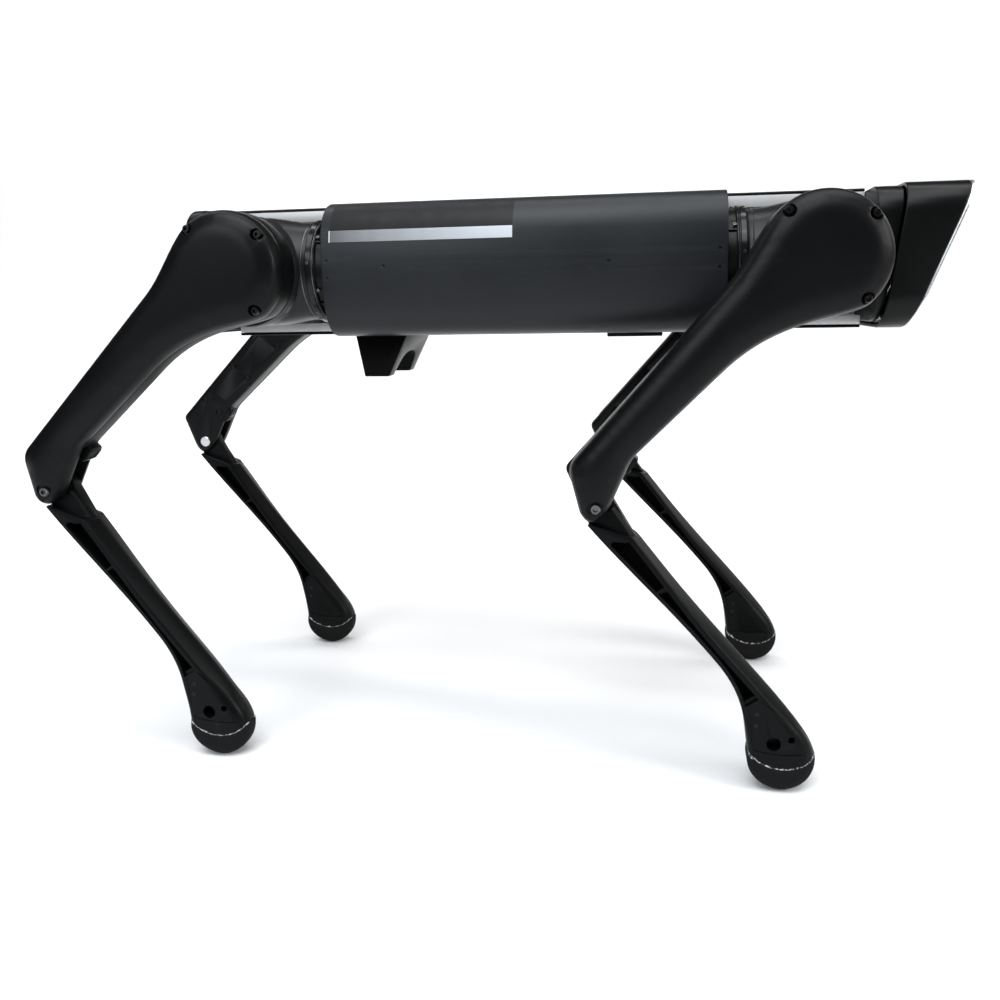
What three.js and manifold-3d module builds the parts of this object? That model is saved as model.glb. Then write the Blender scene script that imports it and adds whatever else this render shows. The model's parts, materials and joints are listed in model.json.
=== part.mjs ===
// Quadruped robot dog: a narrow trunk with four legs, each with a sideways hip joint,
// a swinging thigh and a knee that is driven by a crank and push rod inside the thigh.
// Millimetres, +X forward, +Y left, +Z up, standing on z = 0.
import * as THREE from 'three';
import { mergeVertices } from 'three/addons/utils/BufferGeometryUtils.js';
import Module from 'manifold-3d';

const wasm = await Module();
wasm.setup();

// ---- driving dimensions: leg kinematics ----
const HIP_X = 229.4;            // hip axis, fore or aft of the trunk's middle
const ABDUCTION_Y = 62;         // sideways hip axis, from the trunk's middle plane
const THIGH_LENGTH = 250;       // hip axis to knee axis
const CALF_LENGTH = 250;        // knee axis to foot centre
const FOOT_RADIUS = 26.5;
const FRONT_THIGH_ANGLE = 41.6; // degrees back from straight down, standing
const REAR_THIGH_ANGLE = 43.8;
const FRONT_CALF_ANGLE = 35.2;  // degrees forward from straight down, standing
const ROCKER_RADIUS = 21;       // knee crank and calf rocker arms
const ROCKER_ANGLE = 187.5;     // degrees from the calf's line back to its rocker
const GAP = 0.3;                // clearance left between touching parts

// ---- driving dimensions: trunk, heights from the hip axis ----
const COVER_HALF_LENGTH = 163;
const COVER_SEAM_Y = 32;        // each side cover wraps over the trunk to here
const COVER_TOP = 55.8;
const COVER_BOTTOM = -55.8;
const COVER_WALL = 2.5;
const FRAME_HALF_LENGTH = 276.7;
const FRAME_HALF_WIDTH = 30;
const FRAME_HALF_HEIGHT = 51;
const FLANGE = 5.7;             // thickness of the frame's top and bottom flanges
const WEB_HALF_WIDTH = 8;
const DECK = 6.4;               // top deck thickness
const FLOOR_PLATE = 4.4;        // bottom plate thickness
const DECK_CHAMFER = 2;
const MOTOR_WALL_X = 116;       // inner face of the walls that carry the abduction motors
const MOTOR_WALL = 6;
const BULKHEAD_X = 277;         // inner face of the end bulkheads
const BULKHEAD_HALF_WIDTH = 80;
const BULKHEAD = 6;             // thickness of the rear bulkhead
const REAR_END_X = 297;         // face of the rear cap, at the height of the hips
const HEAD_HALF_WIDTH = 86;
const HEAD_TOP = 57.5;
const HEAD_BOTTOM = -53.5;
const HEAD_CORNER = 26;
const HEAD_WALL = 3;
const HEAD_REAR_SLOPE = 0.15;   // how far each end of the head leans forward per unit of height
const HEAD_FRONT_SLOPE = 0.42;
const RIM = 2.5;                // depth of the bright rim round the head's face
const STAND_BOTTOM = -94;

// ---- driving dimensions: hips ----
const MOTOR_RADIUS = 40;        // abduction motor, inside the trunk
const MOTOR_RING_RADIUS = 44;   // and the ring on its face
const FLANGE_X = 178.2;         // where the tilting housing meets that ring
const DRUM_RADIUS = 46;
const HUB_RADIUS = 40;
const THIGH_MOTOR_RADIUS = 36;
const JOURNAL_RADIUS = 12;

// ---- driving dimensions: leg layers, outwards from the trunk's middle plane ----
const HUB_INNER = 47;
const DRUM_STEP = 77;
const THIGH_INNER = 109.5;
const THIGH_FLOOR = 114;
const INNER_ARM = 116.5;
const MOTOR_OUTER = 122;
const CRANK = [MOTOR_OUTER + GAP, MOTOR_OUTER + GAP + 4];
const ROD = [CRANK[1] + GAP, CRANK[1] + GAP + 4];
const THIGH_SEAM = 132;
const THIGH_OUTER = 151;
const CALF_INNER = 111;
const CALF_OUTER = 138;
const TONGUE = [INNER_ARM + 0.7, CRANK[1]];

const THIGH_DISC = 47;          // radius of the thigh's round end over the hip
const SCREW_CIRCLE = 41.8;      // three sunk screws round that end
const SCREW_TURN = -7;          // degrees that they are turned from the thigh's own axes
const KNEE_SLOT_FRONT = 204;    // the thigh's front wall stops here to let the calf fold
const KNEE_SLOT_BACK = 222;
const CALF_SHOULDER = 36;       // the calf widens here, below the knee
const KNEE_PIN = 4.5;
const LINK_PIN = 3;
const LINK_EYE = 5.5;
const PIN_CLEARANCE = 0.3;
const SOLE_CIRCLE = { x: CALF_LENGTH - 23.2, y: 17, radius: 34.1 };
// the calf's front edge: where it leaves the foot circle, and its bezier points up the shin
const SIDE_EDGE = { foot: 100, curve: [[205, 18.5], [150, 10], [77, 9.8]], shoulder: 9.2 };
const MIDDLE_EDGE = { foot: 75, curve: [[232, 33.2], [150, 18], [77, 13.8]], shoulder: 11.6 };

// ---- materials ----
function paint(color, roughness, metalness = 0) {
  return () => new THREE.MeshStandardMaterial({ color, roughness, metalness });
}
const coverPlastic = paint('#1c1d1f', 0.42);
const legPlastic = paint('#131415', 0.5);
const headPlastic = paint('#151617', 0.38);
const darkAlloy = paint('#202224', 0.4, 0.6);
const calfAlloy = paint('#1d1f21', 0.45, 0.5);
const bareAlloy = paint('#c9cbcc', 0.3, 0.95);
const motorGloss = paint('#17181a', 0.28, 0.7);
const steel = paint('#b9bcbe', 0.25, 1);
const rubber = paint('#2a2b2c', 0.85);
const glass = paint('#0b0c0e', 0.08);
const board = paint('#2b3a33', 0.6);

// ---- solids ----
const radians = THREE.MathUtils.degToRad;

function solid(geometry) {
  const bare = geometry.index ? geometry.toNonIndexed() : geometry.clone();
  bare.deleteAttribute('normal');
  bare.deleteAttribute('uv');
  const merged = mergeVertices(bare, 1e-4);
  return new wasm.Manifold(new wasm.Mesh({
    numProp: 3,
    vertProperties: new Float32Array(merged.attributes.position.array),
    triVerts: new Uint32Array(merged.index.array),
  }));
}

function shell(body) {
  const mesh = body.getMesh();
  const geometry = new THREE.BufferGeometry();
  geometry.setAttribute('position', new THREE.BufferAttribute(mesh.vertProperties, 3));
  geometry.setIndex(new THREE.BufferAttribute(mesh.triVerts, 1));
  return geometry;
}

function join(first, ...others) {
  return shell(others.reduce((body, other) => body.add(solid(other)), solid(first)));
}

function cut(first, ...tools) {
  return shell(tools.reduce((body, tool) => body.subtract(solid(tool)), solid(first)));
}

function common(first, second) {
  return shell(solid(first).intersect(solid(second)));
}

// A copy mirrored across the planes whose sign is negative, with its faces kept outwards.
function mirrored(geometry, sx, sy, sz = 1) {
  const copy = geometry.index ? geometry.toNonIndexed() : geometry.clone();
  copy.deleteAttribute('normal');
  copy.deleteAttribute('uv');
  copy.scale(sx, sy, sz);
  const merged = mergeVertices(copy, 1e-4);
  if (sx * sy * sz < 0) {
    const order = merged.index.array;
    for (let i = 0; i < order.length; i += 3) {
      [order[i], order[i + 1]] = [order[i + 1], order[i]];
    }
  }
  return merged;
}

// An outline drawn in the (x, y) plane of a leg, extruded outwards from w0 to w1.
function layer(shape, w0, w1, curveSegments = 4) {
  const geometry = new THREE.ExtrudeGeometry(shape, {
    depth: w1 - w0, bevelEnabled: false, curveSegments,
  });
  return geometry.translate(0, 0, w0);
}

// The same with both edges rounded; the outline grows by bevelSize between the caps.
function domed(shape, w0, w1, bevelSize, bevelThickness, bevelSegments = 2, curveSegments = 4) {
  const geometry = new THREE.ExtrudeGeometry(shape, {
    depth: w1 - w0 - 2 * bevelThickness, bevelSize, bevelThickness, bevelSegments, curveSegments,
  });
  return geometry.translate(0, 0, w0 + bevelThickness);
}

// A (y, z) section extruded along X.
function alongX(shape, x0, x1, curveSegments = 4) {
  const turn = new THREE.Matrix4().makeBasis(
    new THREE.Vector3(0, 1, 0), new THREE.Vector3(0, 0, 1), new THREE.Vector3(1, 0, 0),
  );
  return layer(shape, x0, x1, curveSegments).applyMatrix4(turn);
}

// A (y, z) section whose two end faces lie at rear(z) and front(z).
function slanted(shape, rear, front, curveSegments = 4) {
  const geometry = alongX(shape, 0, 1, curveSegments);
  const place = geometry.attributes.position;
  for (let i = 0; i < place.count; i += 1) {
    const z = place.getZ(i);
    place.setX(i, THREE.MathUtils.lerp(rear(z), front(z), place.getX(i)));
  }
  return geometry;
}

function block(x0, x1, y0, y1, z0, z1) {
  return new THREE.BoxGeometry(x1 - x0, y1 - y0, z1 - z0)
    .translate((x0 + x1) / 2, (y0 + y1) / 2, (z0 + z1) / 2);
}

// A cylinder along Z, the direction of the leg's layers.
function peg(x, y, radius, w0, w1, segments = 14) {
  return new THREE.CylinderGeometry(radius, radius, w1 - w0, segments)
    .rotateX(Math.PI / 2)
    .translate(x, y, (w0 + w1) / 2);
}

// A cylinder along X through (y, z).
function shaft(y, z, radius, x0, x1, segments = 18) {
  return new THREE.CylinderGeometry(radius, radius, x1 - x0, segments)
    .rotateZ(Math.PI / 2)
    .translate((x0 + x1) / 2, y, z);
}

// A turned part about Z: a profile of [radius, w] points that starts and ends on the axis.
function turned(points, segments = 20) {
  const profile = points.map(([r, w]) => new THREE.Vector2(r, w));
  return new THREE.LatheGeometry(profile, segments).rotateX(Math.PI / 2);
}

function roundedRect(y0, y1, z0, z1, radius) {
  const shape = new THREE.Shape();
  const quarter = Math.PI / 2;
  shape.absarc(y1 - radius, z1 - radius, radius, 0, quarter);
  shape.absarc(y0 + radius, z1 - radius, radius, quarter, 2 * quarter);
  shape.absarc(y0 + radius, z0 + radius, radius, 2 * quarter, 3 * quarter);
  shape.absarc(y1 - radius, z0 + radius, radius, 3 * quarter, 4 * quarter);
  return shape;
}

// ---- the scene graph ----
const robot = new THREE.Group();

function part(name, geometry, material, parent = robot) {
  const mesh = new THREE.Mesh(geometry, material());
  mesh.name = name;
  parent.add(mesh);
  return mesh;
}

// ---- trunk ----
function buildSpineFrame() {
  const half = FRAME_HALF_WIDTH;
  const inner = FRAME_HALF_HEIGHT - FLANGE;
  const pieces = [
    block(-FRAME_HALF_LENGTH, FRAME_HALF_LENGTH, -half, half, inner, FRAME_HALF_HEIGHT),
    block(-FRAME_HALF_LENGTH, FRAME_HALF_LENGTH, -half, half, -FRAME_HALF_HEIGHT, -inner),
  ];
  const wallSection = roundedRect(-100, 100, -inner - 1, inner + 1, 24);
  for (const end of [-1, 1]) {
    const wall = end * (MOTOR_WALL_X + MOTOR_WALL / 2);
    pieces.push(alongX(wallSection, wall - MOTOR_WALL / 2, wall + MOTOR_WALL / 2, 5));
    const webEnds = [end * MOTOR_WALL_X, end * FRAME_HALF_LENGTH].sort((a, b) => a - b);
    pieces.push(block(...webEnds, -WEB_HALF_WIDTH, WEB_HALF_WIDTH, -inner - 1, inner + 1));
  }
  part('spine_frame', join(...pieces), bareAlloy);
}

function buildDeckAndFloor() {
  const reach = FRAME_HALF_LENGTH;
  const half = FRAME_HALF_WIDTH;
  const top = FRAME_HALF_HEIGHT + GAP;
  const deckSection = new THREE.Shape([
    new THREE.Vector2(-half, top),
    new THREE.Vector2(half, top),
    new THREE.Vector2(half, top + DECK - DECK_CHAMFER),
    new THREE.Vector2(half - DECK_CHAMFER, top + DECK),
    new THREE.Vector2(-half + DECK_CHAMFER, top + DECK),
    new THREE.Vector2(-half, top + DECK - DECK_CHAMFER),
  ]);
  part('top_deck', alongX(deckSection, -reach, reach), headPlastic);
  const floorTop = -FRAME_HALF_HEIGHT - GAP;
  const floor = block(-reach, reach, -half, half, floorTop - FLOOR_PLATE, floorTop);
  part('bottom_plate', floor, headPlastic);
}

// One side of the cover's section, from the top seam round the side to the bottom seam.
function coverPoints(inset) {
  const top = COVER_TOP - inset;
  const bottom = COVER_BOTTOM + inset;
  const path = new THREE.Path();
  path.moveTo(COVER_SEAM_Y, top);
  path.lineTo(68, top);
  path.bezierCurveTo(88 - inset, top, 99.5 - inset, 46 - inset, 103.5 - inset, 29);
  path.bezierCurveTo(106.8 - inset, 12, 106.8 - inset, -9, 103.5 - inset, -29);
  path.bezierCurveTo(101 - inset, -46 + inset, 90 - inset, bottom, 72, bottom);
  path.lineTo(COVER_SEAM_Y, bottom);
  return path.getPoints(6);
}

function buildSideCovers() {
  const section = new THREE.Shape([...coverPoints(0), ...coverPoints(COVER_WALL).reverse()]);
  const left = alongX(section, -COVER_HALF_LENGTH, COVER_HALF_LENGTH);
  part('side_cover_left', left, coverPlastic);
  part('side_cover_right', mirrored(left, 1, -1), coverPlastic);
}

function buildBulkhead(name, end, frontFace) {
  const section = roundedRect(-BULKHEAD_HALF_WIDTH, BULKHEAD_HALF_WIDTH, -50, 55.5, 24);
  let plate = slanted(section, () => BULKHEAD_X, frontFace, 5);
  for (const side of [-1, 1]) {
    const bore = shaft(
      side * ABDUCTION_Y, 0, JOURNAL_RADIUS + 0.4, BULKHEAD_X - 5, BULKHEAD_X + 20,
    );
    plate = cut(plate, bore);
  }
  part(name, mirrored(plate, end, 1), darkAlloy);
}

const headRear = (z) => 290 + HEAD_REAR_SLOPE * z;
const headFront = (z) => 322 + HEAD_FRONT_SLOPE * z;

function headSection(inset) {
  return roundedRect(
    -HEAD_HALF_WIDTH + inset, HEAD_HALF_WIDTH - inset,
    HEAD_BOTTOM + inset, HEAD_TOP - inset, HEAD_CORNER - inset,
  );
}

function headRing(rear, front) {
  const ring = headSection(0);
  ring.holes.push(headSection(HEAD_WALL));
  return slanted(ring, rear, front);
}

function buildHead() {
  part('head_shell', headRing(headRear, headFront), headPlastic);
  const ahead = (distance) => (z) => headFront(z) + distance;
  part('head_rim', headRing(ahead(GAP), ahead(GAP + RIM)), bareAlloy);
  const visor = slanted(headSection(HEAD_WALL + GAP), ahead(-8), ahead(-5));
  part('head_visor', visor, glass);
  const barSection = roundedRect(-46, 46, 6, 26, 9.9);
  const lenses = [-34, 0, 34].map((y) => {
    const lens = new THREE.Shape().absarc(y, 16, 6.5, 0, 2 * Math.PI);
    return slanted(lens, ahead(-3), ahead(-1));
  });
  const bar = join(slanted(barSection, ahead(-5 + GAP), ahead(-2)), ...lenses);
  part('head_sensors', bar, darkAlloy);
}

function buildRearCap() {
  const section = roundedRect(-BULKHEAD_HALF_WIDTH, BULKHEAD_HALF_WIDTH, -52, 55.5, 22);
  const rearFace = (z) => REAR_END_X - 0.04 * z;
  const cap = slanted(section, () => BULKHEAD_X + BULKHEAD + GAP, rearFace);
  part('rear_cap', mirrored(cap, -1, 1), headPlastic);
}

function buildInsides() {
  const floor = -FRAME_HALF_HEIGHT + FLANGE + GAP;
  const pack = alongX(roundedRect(-60, 60, floor, 44, 8), -108, 42, 3);
  part('battery_pack', pack, darkAlloy);
  const computer = block(48, 110, -70, 70, floor, 22);
  part('control_computer', computer, board);
}

// Two tapered feet joined by an arch, across the trunk's underside.
function buildBellyStand() {
  const top = COVER_BOTTOM - GAP;
  const crown = -73;
  const arch = new THREE.Shape();
  arch.moveTo(-40, top);
  arch.lineTo(-39, STAND_BOTTOM);
  arch.lineTo(-24, STAND_BOTTOM);
  arch.bezierCurveTo(-21, crown - 3, -17, crown, 0, crown);
  arch.bezierCurveTo(17, crown, 21, crown - 3, 24, STAND_BOTTOM);
  arch.lineTo(39, STAND_BOTTOM);
  arch.lineTo(40, top);
  const narrowing = (z) => (top - z) / (top - STAND_BOTTOM);
  const rear = (z) => -161 + 6.5 * narrowing(z);
  const front = (z) => -113 - 19 * narrowing(z);
  part('belly_stand', slanted(arch, rear, front, 5), headPlastic);
}

function buildBellyHatch() {
  const top = -FRAME_HALF_HEIGHT - 2 * GAP - FLOOR_PLATE;
  part('belly_hatch', block(65, 113, -27, 27, top - 5, top), legPlastic);
}

function buildAbductionMotor(name, end, side) {
  const back = MOTOR_WALL_X + MOTOR_WALL;
  const face = FLANGE_X - GAP;
  const groove = MOTOR_RING_RADIUS - 1.6;
  const profile = [
    [0, back + GAP],
    [MOTOR_RADIUS - 2, back + GAP],
    [MOTOR_RADIUS, back + 2],
    [MOTOR_RADIUS, 164.5],
    [MOTOR_RING_RADIUS, 164.5],
    [MOTOR_RING_RADIUS, 170.5],
    [groove, 171],
    [groove, 172.4],
    [MOTOR_RING_RADIUS, 173],
    [MOTOR_RING_RADIUS, face],
    [0, face],
  ];
  const motor = turned(profile)
    .rotateY(Math.PI / 2)
    .translate(0, ABDUCTION_Y, 0);
  part(name, mirrored(motor, end, side), motorGloss);
}

buildSpineFrame();
buildDeckAndFloor();
buildSideCovers();
buildBulkhead('front_bulkhead', 1, (z) => headRear(z) - GAP);
buildBulkhead('rear_bulkhead', -1, () => BULKHEAD_X + BULKHEAD);
buildHead();
buildRearCap();
buildInsides();
buildBellyStand();
buildBellyHatch();

// ---- hips ----
// The housing that tilts sideways: a flange on the abduction motor, a drum that holds the
// thigh motor, and a journal that turns in the end bulkhead.
function hipHousing() {
  const alongLegs = (geometry) => geometry.rotateX(-Math.PI / 2).translate(HIP_X, 0, 0);
  const drum = alongLegs(turned([
    [0, HUB_INNER], [HUB_RADIUS, HUB_INNER], [HUB_RADIUS, DRUM_STEP],
    [DRUM_RADIUS - 2, DRUM_STEP], [DRUM_RADIUS, DRUM_STEP + 2],
    [DRUM_RADIUS, THIGH_INNER - 2.5], [DRUM_RADIUS - 1.5, THIGH_INNER - GAP],
    [0, THIGH_INNER - GAP],
  ], 24));
  const flange = shaft(ABDUCTION_Y, 0, HUB_RADIUS, FLANGE_X, FLANGE_X + 12, 24);
  const journal = shaft(ABDUCTION_Y, 0, JOURNAL_RADIUS, BULKHEAD_X - 15, BULKHEAD_X + 5);
  const bore = alongLegs(
    peg(0, 0, THIGH_MOTOR_RADIUS + 0.5, HUB_INNER - 5, DRUM_STEP - 0.4, 20),
  );
  return cut(join(drum, flange, journal), bore);
}

function thighMotor() {
  const rim = THIGH_MOTOR_RADIUS + 1.5;
  const cap = HUB_INNER - 3.5;
  const profile = [
    [0, cap], [rim - 2, cap], [rim, cap + 1.5], [rim, HUB_INNER - GAP],
    [THIGH_MOTOR_RADIUS, HUB_INNER - GAP], [THIGH_MOTOR_RADIUS, DRUM_STEP - 0.7],
    [0, DRUM_STEP - 0.7],
  ];
  return turned(profile).rotateX(-Math.PI / 2).translate(HIP_X, 0, 0);
}

// ---- thigh: outlines run from the hip at (0, 0) to the knee at (THIGH_LENGTH, 0), with
// the leg's front and lower edge towards +y ----
function thighOutline(inset) {
  const disc = THIGH_DISC - inset;
  const frontAngle = radians(82.5);
  const backAngle = radians(-83);
  const knee = THIGH_LENGTH;
  const back = -38 + inset;
  const shape = new THREE.Shape();
  shape.moveTo(disc * Math.cos(frontAngle), disc * Math.sin(frontAngle));
  shape.bezierCurveTo(26, 41 - inset, 50, 8 - inset, 105, 2.6 - inset);
  shape.lineTo(knee - 49, -4 - inset);
  shape.lineTo(knee - 12, 8 - inset);
  shape.bezierCurveTo(
    knee + 4, 13.5 - inset, knee + 21 - inset, 9 - inset, knee + 10.5 - inset, -6,
  );
  shape.lineTo(knee - 7 - inset, -28 + inset / 2);
  shape.quadraticCurveTo(knee - 13.5 - inset, back + 1, knee - 25 - inset, back);
  shape.lineTo(59, back);
  shape.quadraticCurveTo(32, back - 0.8, disc * Math.cos(backAngle), disc * Math.sin(backAngle));
  shape.absarc(0, 0, disc, backAngle, frontAngle, true);
  return shape;
}

function thighFrame() {
  const floorBevel = 2;
  const rounded = domed(
    thighOutline(floorBevel), THIGH_INNER, THIGH_SEAM + 10, floorBevel, floorBevel, 1,
  );
  const body = common(rounded, block(-60, 280, -60, 60, THIGH_INNER, THIGH_SEAM - GAP));
  const hollow = common(
    layer(thighOutline(2.2), THIGH_FLOOR, THIGH_OUTER),
    block(-60, KNEE_SLOT_FRONT + 6, -60, 60, THIGH_FLOOR, THIGH_OUTER),
  );
  const kneeSlot = join(
    block(KNEE_SLOT_FRONT, 290, -31, 30, INNER_ARM, THIGH_OUTER),
    block(KNEE_SLOT_BACK, 290, -60, 30, INNER_ARM, THIGH_OUTER),
  );
  const pinHole = peg(THIGH_LENGTH, 0, KNEE_PIN + PIN_CLEARANCE, THIGH_INNER - 5, THIGH_OUTER);
  const headSeat = peg(THIGH_LENGTH, 0, 6.3, THIGH_INNER - 5, THIGH_INNER + 1.5);
  return cut(body, hollow, kneeSlot, pinHole, headSeat);
}

function thighShell() {
  const crown = 5;
  const dome = domed(thighOutline(crown), 112, THIGH_OUTER, crown, 9, 3);
  const body = common(dome, block(-60, 280, -60, 60, THIGH_SEAM, THIGH_OUTER + 1));
  const hollow = common(
    domed(thighOutline(7.5), 112, THIGH_OUTER - 3, 5, 8, 2),
    block(-60, THIGH_LENGTH - 28, -60, 60, THIGH_SEAM - 1, THIGH_OUTER),
  );
  const recesses = [90, 180, 270].map((angle) => {
    const turn = radians(angle + SCREW_TURN);
    const x = SCREW_CIRCLE * Math.cos(turn);
    const y = SCREW_CIRCLE * Math.sin(turn);
    return peg(x, y, 5.2, THIGH_OUTER - 6.5, THIGH_OUTER + 2, 10);
  });
  const pinHole = peg(THIGH_LENGTH, 0, KNEE_PIN + PIN_CLEARANCE, THIGH_SEAM - 2, THIGH_OUTER + 2);
  const headSeat = peg(THIGH_LENGTH, 0, 6.9, THIGH_OUTER - 4, THIGH_OUTER + 2);
  return cut(body, hollow, ...recesses, pinHole, headSeat);
}

function kneeMotor() {
  const inner = THIGH_FLOOR + GAP;
  return turned([
    [0, inner], [33, inner], [34, inner + 1], [34, MOTOR_OUTER - 1], [33, MOTOR_OUTER],
    [0, MOTOR_OUTER],
  ]);
}

// ---- knee linkage ----
function linkPin(x, y) {
  return peg(x, y, LINK_PIN, CRANK[1] - 1, ROD[1] + 0.5, 10);
}

// An arm with a round hub at the origin and an eye on the x axis, tangent to both.
function armOutline(hub, eye, length) {
  const lean = Math.acos((hub - eye) / length);
  const shape = new THREE.Shape();
  shape.absarc(0, 0, hub, lean, 2 * Math.PI - lean);
  shape.absarc(length, 0, eye, -lean, lean);
  return shape;
}

function kneeCrank() {
  const arm = layer(armOutline(10, LINK_EYE, ROCKER_RADIUS), ...CRANK, 5);
  return join(arm, linkPin(ROCKER_RADIUS, 0));
}

function kneeRod() {
  const eyes = [0, THIGH_LENGTH].map((x) => peg(x, 0, LINK_EYE, ...ROD));
  const bar = block(0, THIGH_LENGTH, -3.4, 3.4, ...ROD);
  const bores = [0, THIGH_LENGTH].map((x) => (
    peg(x, 0, LINK_PIN + PIN_CLEARANCE, ROD[0] - 2, ROD[1] + 2, 10)
  ));
  return cut(join(bar, ...eyes), ...bores);
}

function kneePin() {
  return turned([
    [0, THIGH_INNER - 0.6], [5.2, THIGH_INNER - 0.6], [6, THIGH_INNER], [6, THIGH_INNER + 1.2],
    [KNEE_PIN, THIGH_INNER + 1.2], [KNEE_PIN, ROD[0]], [5.8, ROD[0]],
    [5.8, THIGH_SEAM - GAP], [KNEE_PIN, THIGH_SEAM - GAP], [KNEE_PIN, THIGH_OUTER - 3.7],
    [6.6, THIGH_OUTER - 3.7], [6.6, THIGH_OUTER - 1], [0, THIGH_OUTER - 1],
  ], 12);
}

// ---- calf: outlines run from the knee at (0, 0) to the foot centre at (CALF_LENGTH, 0),
// with the leg's front towards +y ----
function calfOutline(inset, frontEdge = SIDE_EDGE) {
  const knee = 13 - inset;
  const foot = FOOT_RADIUS - inset;
  const footBack = radians(-135);
  const footFront = radians(frontEdge.foot);
  const kneeFront = radians(60);
  const end = CALF_LENGTH;
  const shape = new THREE.Shape();
  shape.moveTo(0, -knee);
  shape.bezierCurveTo(50, -13.5 + inset, 105, 1 + inset, 160, 4.8 + inset);
  shape.bezierCurveTo(
    188, 5.5 + inset, 203, -2.5 + inset,
    end + foot * Math.cos(footBack), foot * Math.sin(footBack),
  );
  shape.absarc(end, 0, foot, footBack, footFront);
  shape.bezierCurveTo(...frontEdge.curve.flatMap(([x, y]) => [x, y - inset]));
  shape.lineTo(CALF_SHOULDER + 2, frontEdge.shoulder - inset);
  shape.lineTo(knee * Math.cos(kneeFront), knee * Math.sin(kneeFront));
  shape.absarc(0, 0, knee, kneeFront, radians(270));
  return shape;
}

function soleCutter(radius) {
  return peg(SOLE_CIRCLE.x, SOLE_CIRCLE.y, radius, CALF_INNER - 10, CALF_OUTER + 10, 36);
}

function calf() {
  const broad = domed(calfOutline(1.2), CALF_INNER, CALF_OUTER, 1.2, 1.2, 1);
  const crowned = layer(calfOutline(0.4, MIDDLE_EDGE), CALF_INNER + 5, CALF_OUTER - 5);
  const wideBox = block(CALF_SHOULDER, 300, -40, 60, CALF_INNER, CALF_OUTER);
  const upperBox = block(-30, CALF_SHOULDER + 1, -40, 60, ...TONGUE);
  const rockerTurn = radians(ROCKER_ANGLE);
  const rocker = layer(armOutline(12, LINK_EYE, ROCKER_RADIUS), ...TONGUE, 5).rotateZ(-rockerTurn);
  const pin = linkPin(
    ROCKER_RADIUS * Math.cos(rockerTurn), -ROCKER_RADIUS * Math.sin(rockerTurn),
  );
  const body = join(
    common(broad, wideBox), common(crowned, wideBox),
    common(layer(calfOutline(0), ...TONGUE), upperBox), rocker, pin,
  );
  const pocketOutline = calfOutline(2.8);
  const depth = 9;
  const stations = [[43, 81], [87, 150], [157, 194]];
  const pockets = stations.flatMap(([start, end]) => (
    [[CALF_INNER - 1, CALF_INNER + depth], [CALF_OUTER - depth, CALF_OUTER + 1]].map((w) => (
      common(layer(pocketOutline, ...w), block(start, end, -40, 60, ...w))
    ))
  ));
  const footZone = block(CALF_LENGTH - 30, 300, -60, 60, CALF_INNER - 5, CALF_OUTER + 5);
  const soleSpace = cut(footZone, soleCutter(SOLE_CIRCLE.radius));
  const footHoles = [
    peg(233.5, 3.4, 6, CALF_OUTER - 8, CALF_OUTER + 2, 12),
    peg(237.9, 16.9, 2.7, CALF_OUTER - 8, CALF_OUTER + 2, 8),
  ];
  const kneeBore = peg(0, 0, KNEE_PIN + PIN_CLEARANCE, CALF_INNER, CALF_OUTER);
  return cut(body, ...pockets, soleSpace, ...footHoles, kneeBore);
}

function footSole() {
  const rounding = 7;
  const round = new THREE.Shape();
  round.absarc(CALF_LENGTH, 0, FOOT_RADIUS - rounding, 0, 2 * Math.PI);
  const disc = domed(round, CALF_INNER - 0.5, CALF_OUTER + 0.5, rounding, rounding, 2, 16);
  return cut(disc, soleCutter(SOLE_CIRCLE.radius + GAP));
}

// ---- legs ----
const hipShape = hipHousing();
const thighMotorShape = thighMotor();
const layers = {
  thighFrame: thighFrame(),
  thighShell: thighShell(),
  kneeMotor: kneeMotor(),
  kneeCrank: kneeCrank(),
  kneeRod: kneeRod(),
  kneePin: kneePin(),
  calf: calf(),
  footSole: footSole(),
};

// The calf angle that puts the rear feet at the same height as the front ones.
function rearCalfAngle() {
  const front = THIGH_LENGTH * Math.cos(radians(FRONT_THIGH_ANGLE))
    + CALF_LENGTH * Math.cos(radians(FRONT_CALF_ANGLE));
  const rearThigh = THIGH_LENGTH * Math.cos(radians(REAR_THIGH_ANGLE));
  return THREE.MathUtils.radToDeg(Math.acos((front - rearThigh) / CALF_LENGTH));
}

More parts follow.
